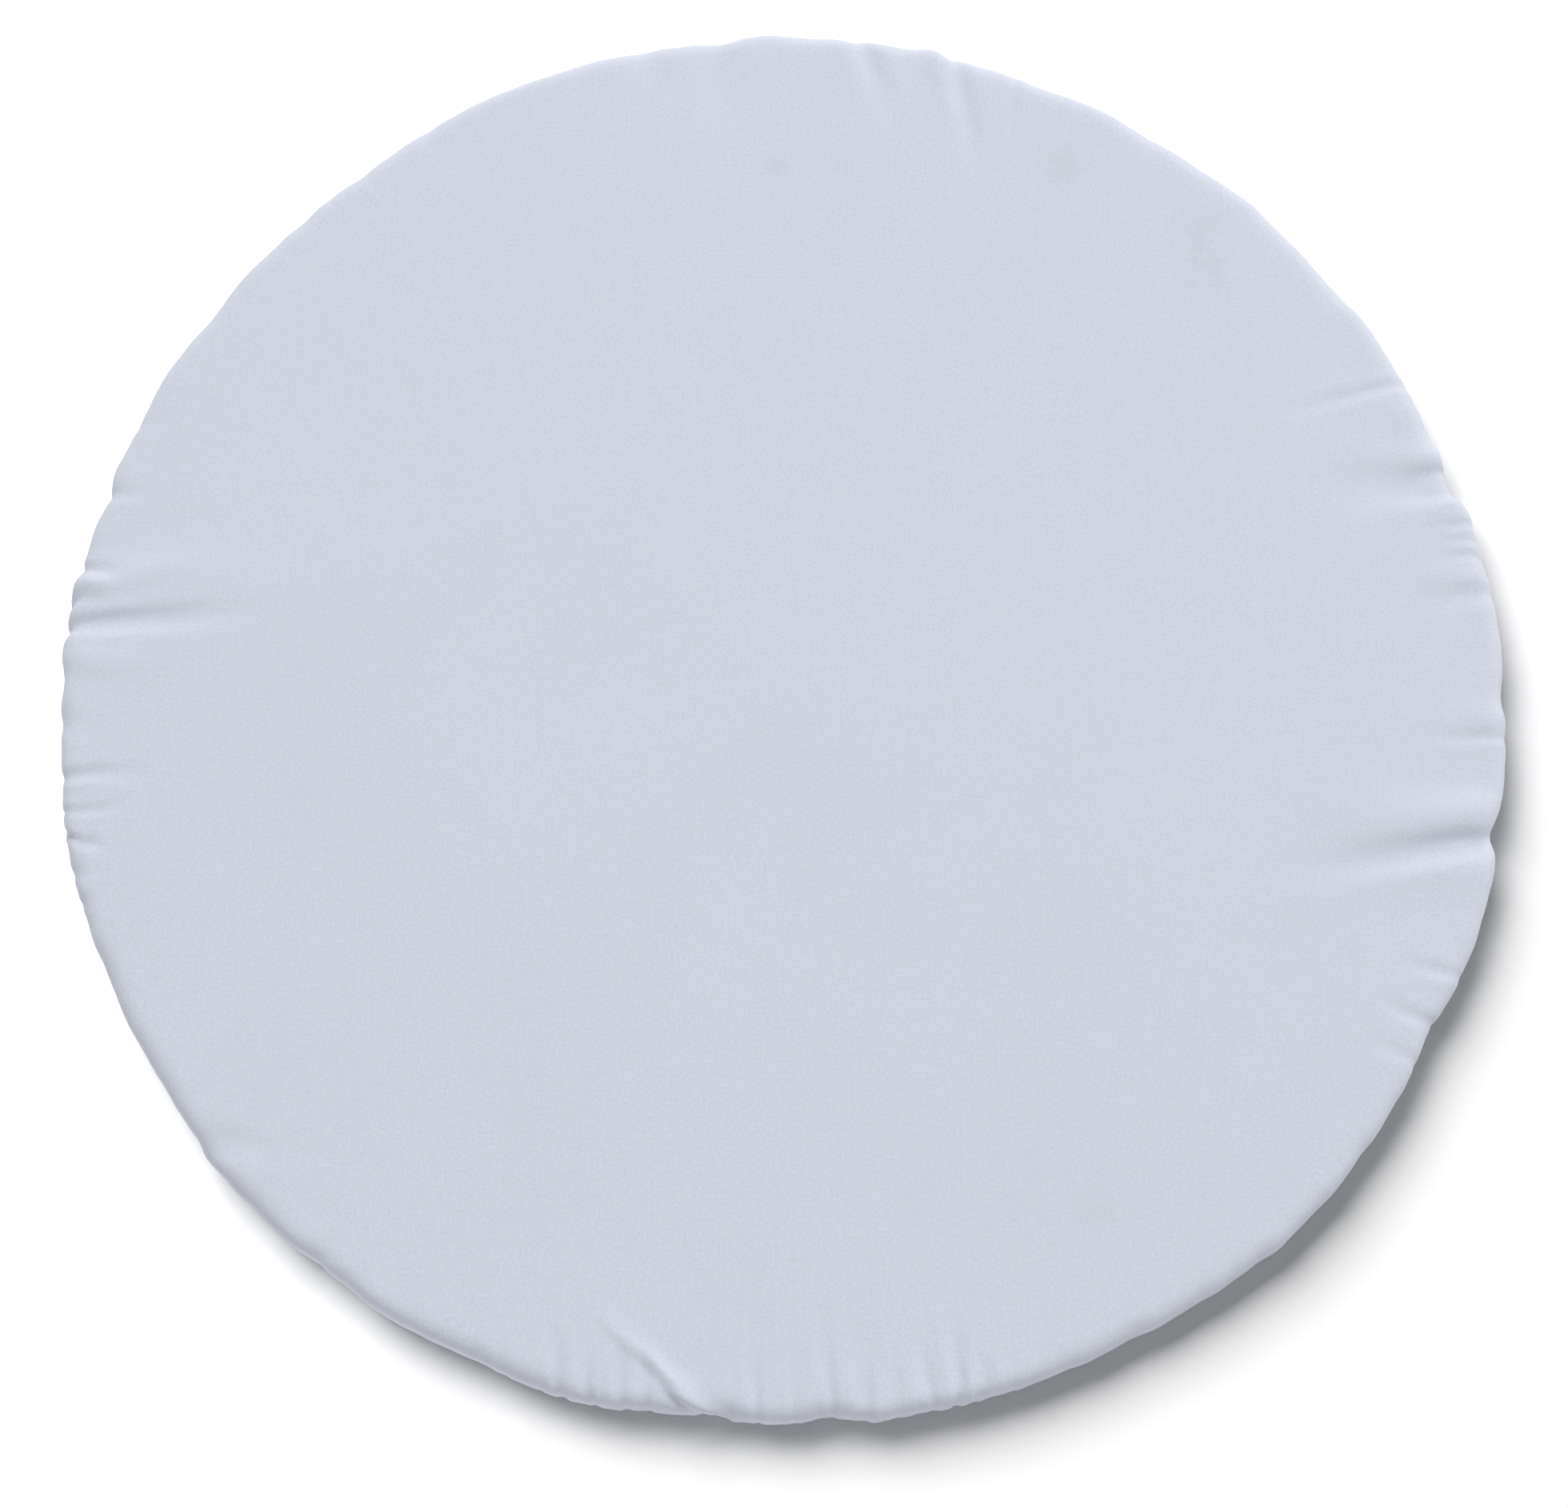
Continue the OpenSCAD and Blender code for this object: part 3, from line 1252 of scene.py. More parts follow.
FOLDS = (
    # Left edge
    Fold(175.2, 120, 6, 4.1, -4.3),
    Fold(172.1, 112, 9, 3.1, -5.9, PUFF),
    Fold(177.0, 90, 8, 2.4, 0.9, PUFF),
    Fold(169.6, 40, 4, 3.3, 0.4),
    Fold(173.2, 26, 3, 3, -1.6),
    Fold(171.4, 34, 3.5, 1.8, -1, PUFF),
    Fold(179.6, 17, 11, 2.8),
    Fold(-177.3, 34, 7, 2.2),
    Fold(-172.9, 66, 4, 2, 0.7),
    Fold(-170.2, 50, 3, 1.7, 0.9),
    Fold(-168.9, 34, 3, 3.6, 3.2),
    Fold(-165.1, 26, 4, 2, 0.5),
    Fold(-162.6, 26, 4, 1.7, 0.4),
    Fold(163.3, 34, 4, 2, -1),
    Fold(157.0, 30, 5, 1.2, -1),
    # Right edge
    Fold(26.7, 108, 4, 1.2, 4.6),
    Fold(24.0, 60, 9, 1.4, 3, PUFF),
    Fold(17.6, 96, 11, 3.8, 3),
    Fold(19.0, 30, 3, 3.6, 0.3),
    Fold(17.0, 36, 3, 3, 0.2),
    Fold(20.6, 36, 4, 2.1, 0.6, PUFF),
    Fold(13.9, 34, 2.4, 1.5, 0.8),
    Fold(12.4, 36, 2.4, 1.4, 0.9),
    Fold(10.9, 36, 2.4, 1.7, 1.1),
    Fold(9.4, 64, 6, 1.4, 1.1, PUFF),
    Fold(7.8, 62, 6, 1.5, 1),
    Fold(-3.8, 66, 3.6, 1.2, -0.7),
    Fold(-2.2, 56, 6, 1.4, -0.5, PUFF),
    Fold(-9.5, 122, 11, 3.8, -4.6, PUFF),
    Fold(-11.9, 126, 8.5, 4.4, -8.1),
    Fold(-14.6, 84, 10, 1.7, -4.9, PUFF),
    Fold(-23.6, 48, 4, 1.4, -1.3),
    Fold(-28.0, 46, 4, 1.8, -0.9),
    Fold(-31.6, 40, 4, 1.4, -0.4),
    # Lower edge
    Fold(-111.5, 40, 4, 1.2, -1),
    Fold(-108.6, 24, 3, 2.1, 0.3),
    Fold(-106.8, 46, 4, 3.3, -2),
    Fold(-104.3, 44, 3, 2.5, -2),
    Fold(-101.9, 44, 3, 2.4, -1.8),
    Fold(-100.2, 44, 3, 1.8, -1.5),
    Fold(-96.2, 22, 4, 2.7, -3),
    Fold(-94.1, 62, 5, 5.4, -14, LAP),
    Fold(-91.9, 56, 3.2, 1.8, -0.6),
    Fold(-89.2, 60, 4, 1),
    Fold(-86.3, 70, 3.2, 1.7),
    Fold(-83.9, 60, 4, 2.4, 0.8),
    Fold(-81.6, 44, 4, 1.2, 0.4),
    Fold(-78.7, 56, 4, 2.2, 0.2),
    Fold(-77.0, 60, 3.4, 2.8, 1.8),
    Fold(-75.6, 32, 3.4, 2, 2.1),
    Fold(-72.6, 34, 4, 1.2, 1),
    # Lower left
    Fold(-141.4, 44, 10, 3.2, 4),
    Fold(-128.0, 30, 5, 1),
    # Upper edge
    Fold(86.6, 60, 7, 1.2, -4, PUFF),
    Fold(84.5, 72, 7.5, 2, -5.2),
    Fold(78.2, 80, 7, 1.4, -6, PUFF),
    Fold(76.2, 92, 7, 2.2, -6.1),
    Fold(70.7, 64, 4, 1, -2.6),
    Fold(95.5, 88, 13, 1.5, 1),
    Fold(101.8, 52, 9, 1),
    Fold(58.0, 40, 5, 0.9, -2),
    Fold(121.0, 34, 6, 0.8, 1),
)

BULGES = (
    # Long swells of the outline
    Bulge(34, 10, -2.2),
    Bulge(60, 14, -1.4),
    Bulge(90, 5, 2.6),
    Bulge(105, 4, 1.2),
    Bulge(137, 16, -3.4),
    Bulge(-160, 14, 1.2),
    Bulge(-138, 7, 3.2),
    Bulge(-121, 14, 2.0),
    Bulge(-108, 5, 3.4),
    Bulge(-47, 13, 3.8),
    Bulge(-21, 5, 1.2),
    Bulge(7, 4, 0.8),
    # Dents and notches
    Bulge(20, 6, -3.6),
    Bulge(17.8, 1.7, -2.2),
    Bulge(95, 1.6, -1.4),
    Bulge(128, 1.6, -1.3),
    Bulge(163.4, 1.6, -2.6),
    Bulge(-143, 1.5, -1.6),
    Bulge(-100.7, 1.4, -2.0),
    Bulge(-95, 2.6, -3.6),
    Bulge(-86.5, 1.8, -1.8),
    Bulge(-79.6, 1.0, -1.4),
    Bulge(-29, 3, -2.4),
    Bulge(-11, 4, -2.0),
    Bulge(-11, 1.4, -2.2),
    Bulge(-0.4, 1.6, -1.8),
)


@dataclass
class SlipCover:
    """The white cover: its face, its gathered rim and return, and its elastic hem."""

    face_r: float = field(default_factory=lambda: mm(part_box("cover_face_right")[1].x))
    roll_r: float = field(default_factory=lambda: mm(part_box("cover_edge_strip")[1].z / 2))
    hem_r: float = field(default_factory=lambda: mm(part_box("hem_casing_strip")[1].y + 0.05 * MM))
    hem_h: float = field(default_factory=lambda: mm(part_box("hem_casing_strip")[1].z))
    hem_w: float = 10 * MM
    cloth: float = 0.8 * MM
    floor_gap: float = 0.3 * MM
    press: float = 3.0 * MM
    pleats: int = 112
    columns: int = 1280
    hem_turn: float = math.radians(305)
    bottom: float = -92.0

    @property
    def roll_end(self) -> float:
        """Length of cloth from the middle of the face to the lowest line of the rim."""
        return self.face_r + math.pi * self.roll_r

    @property
    def edge(self) -> float:
        """Length of cloth from the middle of the face to the outermost line."""
        return self.face_r + math.pi / 2 * self.roll_r

    @property
    def hem_start(self) -> float:
        """Length of cloth from the middle of the face to the bottom of the hem."""
        return self.roll_end + self.face_r - self.hem_r + self.hem_w / 2

    @property
    def hem_round(self) -> float:
        """Mean radius of the hem's own section."""
        return (self.hem_w + self.hem_h) / 4

    @property
    def cut_r(self) -> float:
        """Radius of the flat disc that the cover is cut from."""
        return self.hem_start + self.hem_turn * self.hem_round

    def rings(self) -> list[tuple[int, float]]:
        """Points and cloth length of each ring, closer together towards the rim.

        Returns:
            How many points each ring has, and its length of cloth.
        """
        steps = [(20, 7), (40, 14), (80, 26), (160, 44), (160, 66)]
        steps += [(320, r) for r in (90, 116, 142)]
        steps += [(640, r) for r in (162, 180, 198, 216, 232, 246, 258)]
        rings = [(count, r * MM) for count, r in steps]
        zones = (
            (268 * MM, 355 * MM, 16),
            (355 * MM, self.face_r, 10),
            (self.face_r, self.roll_end, 19),
            (self.roll_end, self.hem_start, 14),
        )
        for start, end, count in zones:
            rings += [(self.columns, r) for r in np.linspace(start, end, count, endpoint=False)]
        rings += [(self.columns, r) for r in np.linspace(self.hem_start, self.cut_r, 10)]
        return rings

    def path(self, s: Array) -> tuple[Array, Array, Array, Array]:
        """The cover's section without its folds.

        Args:
            s: Length of cloth from the middle of the face.

        Returns:
            Radius, height, and the two parts of the outward normal.
        """
        roll = math.pi / 2 - (s - self.face_r) / self.roll_r
        back = self.face_r - (s - self.roll_end)
        hem = math.radians(270) - (s - self.hem_start) / self.hem_round
        centre = self.hem_r - self.hem_w / 2
        zones = [s <= self.face_r, s <= self.roll_end, s <= self.hem_start]
        radius = np.select(
            zones,
            [s, self.face_r + self.roll_r * squared(np.cos(roll)), back],
            centre + self.hem_w / 2 * np.cos(hem),
        )
        height = np.select(
            zones,
            [0 * s + 2 * self.roll_r, self.roll_r + self.roll_r * squared(np.sin(roll)), 0 * s],
            self.hem_h / 2 + self.hem_h / 2 * np.sin(hem),
        )
        out = np.select(zones, [0 * s, np.cos(roll), 0 * s], np.cos(hem))
        up = np.select(zones, [0 * s + 1, np.sin(roll), 0 * s - 1], np.sin(hem))
        return radius, height, out, up

    def outline(self, angle: Array) -> Array:
        """How far the rim stands out at each angle, in metres.

        Args:
            angle: Angle of each point round the panel, in radians.

        Returns:
            The distance outwards, less than 0 where the rim is dented.
        """
        total = 0.3 * ring_noise(angle, 26, 5) + 0.4 * ring_noise(angle, 84, 6)
        for bulge in BULGES:
            away = (np.degrees(angle) - bulge.angle + 180) % 360 - 180
            total = total + bulge.height * np.exp(-((away / bulge.spread) ** 2))
        return total * MM

    def named_folds(self, angle: Array, s: Array, radius: Array) -> Array:
        """Height of the folds that are placed one by one, in metres.

        Args:
            angle: Angle of each point round the panel, in radians.
            s: Length of cloth from the middle of the face to each point.
            radius: Radius of each point.

        Returns:
            The height of the cloth above its section.
        """
        total = np.zeros_like(s)
        for fold in FOLDS:
            inward = (self.edge - s) / (fold.reach * MM)
            run = np.clip(inward, 0.0, 1.0)
            away = (np.degrees(angle) - fold.angle - fold.lean * run + 180) % 360 - 180
            sway = 0.45 * fold.width * run * np.sin(5.0 * run + fold.angle)
            place = (np.radians(away) * radius / MM - sway) / (fold.width * (0.8 + 1.1 * run))
            strength = ease(1.0, 0.05, inward) ** 0.8 * ease(self.roll_end, self.edge, s)
            strength = strength * (1.0 - 0.6 * ease(self.face_r, self.edge, s))
            near = (np.abs(place) < 5) & (strength > 0)
            total[near] += fold.depth * MM * strength[near] * fold.kind.across(place[near])
        return total

    def gathers(self, angle: Array, s: Array) -> Array:
        """Height of the even gathers that the elastic pulls in, in metres.

        Args:
            angle: Angle of each point round the panel, in radians.
            s: Length of cloth from the middle of the face to each point.

        Returns:
            The height of the cloth above its section.
        """
        degrees = np.degrees(angle)
        from_bottom = np.abs((degrees - self.bottom + 180) % 360 - 180)
        dense = ease(25.0, 12.0, from_bottom)
        wander = 1.7 * ring_noise(angle, 61, 1) + 0.9 * ring_noise(angle, 149, 2)
        phase = self.pleats * angle + wander
        deep = 1.0 - np.abs(np.sin(phase / 2)) ** 0.8
        fine = 1.0 - np.abs(np.sin(phase * 1.5 + 2.2 * ring_noise(angle, 97, 9))) ** 0.8
        vary = np.clip(0.45 + 0.75 * ring_noise(angle, 71, 3), 0.0, None)
        reach = (15 + 9 * ring_noise(angle, 47, 4) + 42 * dense) * MM
        on_face = np.exp(-((np.clip(self.face_r - s, 0.0, None) / reach) ** 2))
        down = ease(self.face_r, self.roll_end, s)
        back = ease(self.roll_end, self.hem_start, s)
        hem = ease(self.hem_start - 8.5 * MM, self.hem_start - 3 * MM, s)
        size = (0.10 + 0.34 * dense) * on_face * vary + 0.5 * down * vary
        size = size + 3.4 * back - 3.2 * hem
        small = (0.04 + 0.22 * dense) * on_face * (1.0 - 0.5 * down)
        centred = 0.35 * (1.0 - back)
        wall = ease(self.face_r, self.face_r + 12 * MM, s) * ease(self.roll_end, self.edge, s)
        dents = 1.3 * ring_noise(angle, 74, 21) + 0.6 * ring_noise(angle, 190, 22)
        return -(size * (deep - centred) + small * (fine - centred) + wall * dents) * MM

    def shape(self, angle: Array, s: Array) -> Array:
        """Places points of the cloth.

        Args:
            angle: Angle of each point round the panel, in radians.
            s: Length of cloth from the middle of the face to each point.

        Returns:
            The points in the row frame.
        """
        radius, height, out, up = self.path(s)
        lift = self.gathers(angle, s) + self.named_folds(angle, s, radius)
        pressed = self.press * np.tanh(lift / self.press)
        lift = np.where((lift < 0) & (s < self.roll_end), pressed, lift)
        swell = ease(self.face_r - 60 * MM, self.face_r, s) * ease(self.hem_start, self.roll_end, s)
        across = radius * np.cos(angle)
        along = radius * np.sin(angle)
        drift = np.sin(across * 21 + 1.3) * np.sin(along * 17 + 0.4)
        drift = drift + 0.6 * np.sin(across * 9 - along * 13)
        lift = lift + 0.35 * MM * drift * ease(self.face_r, self.face_r - 80 * MM, s)
        radius = radius + out * lift + self.outline(angle) * swell
        return ring_points(angle, radius, np.maximum(height + up * lift, self.floor_gap))

    def skin(self) -> Skin:
        """The whole cover as one sheet.

        Returns:
            The sheet, with its outer side out.
        """
        rings = self.rings()
        angle, s = ring_places(rings)
        points = self.shape(angle, s)
        points[np.abs(np.cos(angle)) < ON_LINE, 0] = 0.0
        return Skin(points, ring_points(angle, s, 0 * s), polar_faces([n for n, _ in rings]))

    def hem_seam(self, side: Side) -> bpy.types.Object:
        """The stitches that close the hem, seen on the back.

        Args:
            side: Which half is sewn.

        Returns:
            The new piece.
        """
        pitch = 3.2 * MM
        radius = self.hem_r + 1.5 * MM
        s = self.roll_end + self.face_r - radius
        count = round(math.pi * radius / pitch)
        turn = math.pi / 2 - side.sign * (np.arange(count) + 0.5) / count * math.pi
        step = 1e-4
        place = self.shape(turn, 0 * turn + s)
        ahead = self.shape(turn + step, 0 * turn + s)
        outer = self.shape(turn, 0 * turn + s - 1 * MM)
        along = ahead - place
        along /= np.linalg.norm(along, axis=1, keepdims=True)
        up = np.cross(along, outer - place)
        up /= np.linalg.norm(up, axis=1, keepdims=True)
        up *= -np.sign(up[:, 2:3])
        return sew(f"hem_seam_{side.value}", place + up * 0.1 * MM, along, up, 2.5 * MM)

    def build(self) -> None:
        """Makes both halves of the cover and its seam."""
        whole = self.skin()
        for side in Side:
            piece = whole.half(side).thick(f"slip_cover_{side.value}", self.cloth)
            COTTON.dress(piece)
            side.hang(piece)
            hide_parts(*side.nodes("cover_face", "cover_edge", "hem_casing"))
            2 * self.cut_r
            math.pi * self.cut_r**2 / 2
            seam = self.hem_seam(side)
            WHITE_THREAD.dress(seam)
            side.hang(seam)
            log.info("slip cover, %s half: %d faces", side.value, len(piece.data.polygons))


@dataclass
class HemElastic:
    """The round elastic in the hem."""

    ring_r: float
    height: float
    cord_r: float = 2 * MM

    @classmethod
    def measured(cls) -> "HemElastic":
        """Takes the elastic's sizes from its CAD node.

        Returns:
            The elastic.
        """
        low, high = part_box("hem_elastic_right")
        cord = mm((high.z - low.z) / 2)
        return cls(ring_r=mm(high.x) - cord, height=mm(low.z + cord), cord_r=cord)

    def build(self) -> None:
        """Makes both halves of the elastic, and dresses its crimp."""
        sides = 14
        section = [
            (
                self.ring_r + self.cord_r * math.cos(math.tau * k / sides),
                self.height + self.cord_r * math.sin(math.tau * k / sides),
            )
            for k in range(sides)
        ]
        for side in Side:
            piece = ring_half(f"elastic_{side.value}", section, side, 240)
            ELASTIC.dress(piece)
            side.hang(piece)
            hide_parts(*side.nodes("hem_elastic"))
        ZINC.dress_node("elastic_crimp")
        log.info("hem elastic, ring of %.0f mm", self.ring_r / MM)


# ---- The sprung frame ----


@dataclass
class SpringHoop:
    """The flat spring band, its ferrule and rivets, and the tape tunnel round it."""

    ring_r: float
    middle_z: float
    band: tuple[float, float]
    tunnel: tuple[float, float]
    tape: float = 1 * MM
    lip: float = 0.5 * MM
    turns: int = 640

    @classmethod
    def measured(cls) -> "SpringHoop":
        """Takes the hoop's sizes from its CAD nodes.

        Returns:
            The hoop.
        """
        band_low, band_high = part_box("hoop_strip")
        tape_low, tape_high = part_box("tunnel_strip")
        foam_low, foam_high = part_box("rim_foam_strip")
        ring_r = mm(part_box("cover_face_right")[1].x)
        return cls(
            ring_r=ring_r,
            middle_z=mm((foam_low.z + foam_high.z) / 2),
            band=(2 * (mm(band_high.y) - ring_r), mm(band_high.z - band_low.z)),
            tunnel=(2 * (mm(tape_high.y) - ring_r), mm(tape_high.z - tape_low.z)),
        )

    def build(self) -> None:
        """Makes both halves of the band and of the tunnel, and dresses the ferrule."""
        centre = (self.ring_r, self.middle_z)
        band = rounded(centre, self.band[0] / 2, self.band[1] / 2, 0.3 * MM, 2)
        for side in Side:
            steel = ring_half(f"spring_band_{side.value}", band, side, 240)
            SPRING.dress(steel)
            side.hang(steel)
            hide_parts(*side.nodes("hoop"))
            sleeve = self.sleeve().half(side).thick(f"hoop_tunnel_{side.value}", self.tape)
            TAPE.dress(sleeve)
            side.hang(sleeve)
            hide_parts(*side.nodes("tunnel"))
        for name in ("hoop_ferrule", "ferrule_rivets"):
            ZINC.dress_node(name)
        log.info("spring hoop, ring of %.0f mm", self.ring_r / MM)

    def sleeve(self) -> Skin:
        """The tape folded round the band, open where the base cloth goes in.

        Returns:
            The tape's outer side.
        """
        half_w, half_h = self.tunnel[0] / 2, self.tunnel[1] / 2
        loop = rounded((self.ring_r, self.middle_z), half_w, half_h, 2 * MM)
        loop.sort(
            key=lambda p: math.atan2(p[1] - self.middle_z, p[0] - self.ring_r),
            reverse=True,
        )
        inner = self.ring_r - half_w
        mouth = [(inner, self.middle_z + self.lip), (inner, self.middle_z - self.lip)]
        section = np.array([mouth[0], *loop, mouth[1]])
        angle = np.tile(math.tau * np.arange(self.turns) / self.turns, len(section))
        radius, height = np.repeat(section, self.turns, axis=0).T
        steps = np.linalg.norm(np.diff(section, axis=0), axis=1)
        length = np.concatenate([[0.0], np.cumsum(steps)])
        points = ring_points(angle, radius, height)
        points[np.abs(np.cos(angle)) < ON_LINE, 0] = 0.0
        cut = np.stack([np.repeat(length, self.turns), angle * self.ring_r, 0 * angle], 1)
        faces = grid_faces(len(section), self.turns, closed=True)
        return Skin(points, cut, faces[:, ::-1])


@dataclass
class RimFoam:
    """The foam roll round the tunnel."""

    cover: SlipCover
    ring_r: float
    middle_z: float
    roll_r: float
    channel: tuple[float, float]
    slit: float = 1.4 * MM

    @classmethod
    def measured(cls, cover: SlipCover) -> "RimFoam":
        """Takes the roll's sizes from the CAD nodes.

        Args:
            cover: The cover that the roll fills.

        Returns:
            The roll.
        """
        low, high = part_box("rim_foam_strip")
        tape_low, tape_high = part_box("tunnel_strip")
        gap = 0.6 * MM
        ring_r = cover.face_r
        return cls(
            cover=cover,
            ring_r=ring_r,
            middle_z=mm((low.z + high.z) / 2),
            roll_r=mm((high.z - low.z) / 2) - cover.press + 0.8 * MM,
            channel=(2 * (mm(tape_high.y) - ring_r) + gap, mm(tape_high.z - tape_low.z) + gap),
        )

    def section(self) -> list[tuple[float, float]]:
        """The roll's closed section, slit on its inner side.

        Returns:
            Radius and height of each corner.
        """
        width, height = self.channel[0] / 2, self.channel[1] / 2
        half_slit = self.slit / 2
        start = math.asin(half_slit / self.roll_r)
        turns = np.linspace(math.pi - start, -math.pi + start, 40)
        outer = [
            (self.ring_r + self.roll_r * math.cos(t), self.middle_z + self.roll_r * math.sin(t))
            for t in turns
        ]
        left, right = self.ring_r - width, self.ring_r + width
        low, high = self.middle_z - height, self.middle_z + height
        inner = [
            (left, self.middle_z - half_slit),
            (left, low),
            (right, low),
            (right, high),
            (left, high),
            (left, self.middle_z + half_slit),
        ]
        return (outer + inner)[::-1]

    def build(self) -> None:
        """Makes both halves of the roll."""

        def swell(angle: Array, radius: Array) -> Array:
            """Follows the cover's outline on the outer side."""
            share = np.clip((radius - self.ring_r) / self.roll_r, 0.0, 1.0)
            return (self.cover.outline(angle) - 0.4 * MM) * share

        for side in Side:
            piece = ring_half(f"foam_rim_{side.value}", self.section(), side, 320, swell)
            FOAM.dress(piece)
            side.hang(piece)
            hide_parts(*side.nodes("rim_foam"))
        log.info("foam rim, roll of %.1f mm", 2 * self.roll_r / MM)


@dataclass
class BaseCloth:
    """The taut cloth that the hoop holds open."""

    radius: float
    top: float
    cloth: float

    @classmethod
    def measured(cls) -> "BaseCloth":
        """Takes the cloth's sizes from its CAD nodes."""
        low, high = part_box("base_cloth_strip")
        return cls(radius=mm(high.y), top=mm(high.z), cloth=mm(high.z - low.z))

    def build(self) -> None:
        """Makes both halves of the cloth."""
        rings = [(20, 0.03), (40, 0.07), (80, 0.14), (160, 0.24), (160, 0.34), (320, 0.44)]
        rings += [(320, share) for share in np.linspace(0.52, 1.0, 20)]
        angle, s = ring_places([(n, share * self.radius) for n, share in rings])
        pull = ease(0.75 * self.radius, 0.97 * self.radius, s)
        pull = pull * ease(self.radius, 0.985 * self.radius, s)
        height = self.top + 0.12 * MM * pull * np.sin(64 * angle + 2 * ring_noise(angle, 40, 8))
        points = ring_points(angle, s, height)
        points[np.abs(np.cos(angle)) < ON_LINE, 0] = 0.0
        cut = points * [1, 1, 0]
        whole = Skin(points, cut, polar_faces([n for n, _ in rings]))
        for side in Side:
            piece = whole.half(side).thick(f"base_cloth_{side.value}_piece", self.cloth)
            RIPSTOP.dress(piece)
            side.hang(piece)
            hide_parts(*side.nodes("base_cloth"))
        log.info("base cloth, %.0f mm across", 2 * self.radius / MM)


# ---- Sewn parts on the back ----


def sewn_plate(name: str, low: Vector, high: Vector, corner: float) -> bpy.types.Object:
    """Makes a thin sewn-on plate of cloth with round corners and soft edges.

    Args:
        name: The piece's name.
        low: Lowest corner of the space it fills.
        high: Highest corner of that space.
        corner: Radius of its corners.

    Returns:
        The new piece.
    """
    middle = (low + high) / 2
    half = (high - low) / 2
    outline = np.array(rounded((0.0, 0.0), half.x, half.y, corner, 8))
    count = len(outline)
    shares = (0.3, 0.6, 0.85, 0.96, 1.0)
    droop = (0.0, 0.0, 0.0, 0.08, 0.3)
    flat = np.concatenate([[[0.0, 0.0]], *(outline * share for share in shares)])
    edge = np.concatenate([[0.0], *(np.full(count, d) for d in droop)])
    thickness = high.z - low.z
    depth = low.z + thickness * edge * 0.6
    points = np.column_stack([flat[:, 0] + middle.x, flat[:, 1] + middle.y, depth])
    faces = polar_faces([count] * len(shares))[:, ::-1]
    faces = np.where((faces[:, :1] == faces[:, 1:2]), faces[:, [1, 2, 3, 3]], faces)
    cut = np.column_stack([flat, 0 * edge])
    return Skin(points, cut, faces).thick(name, thickness)


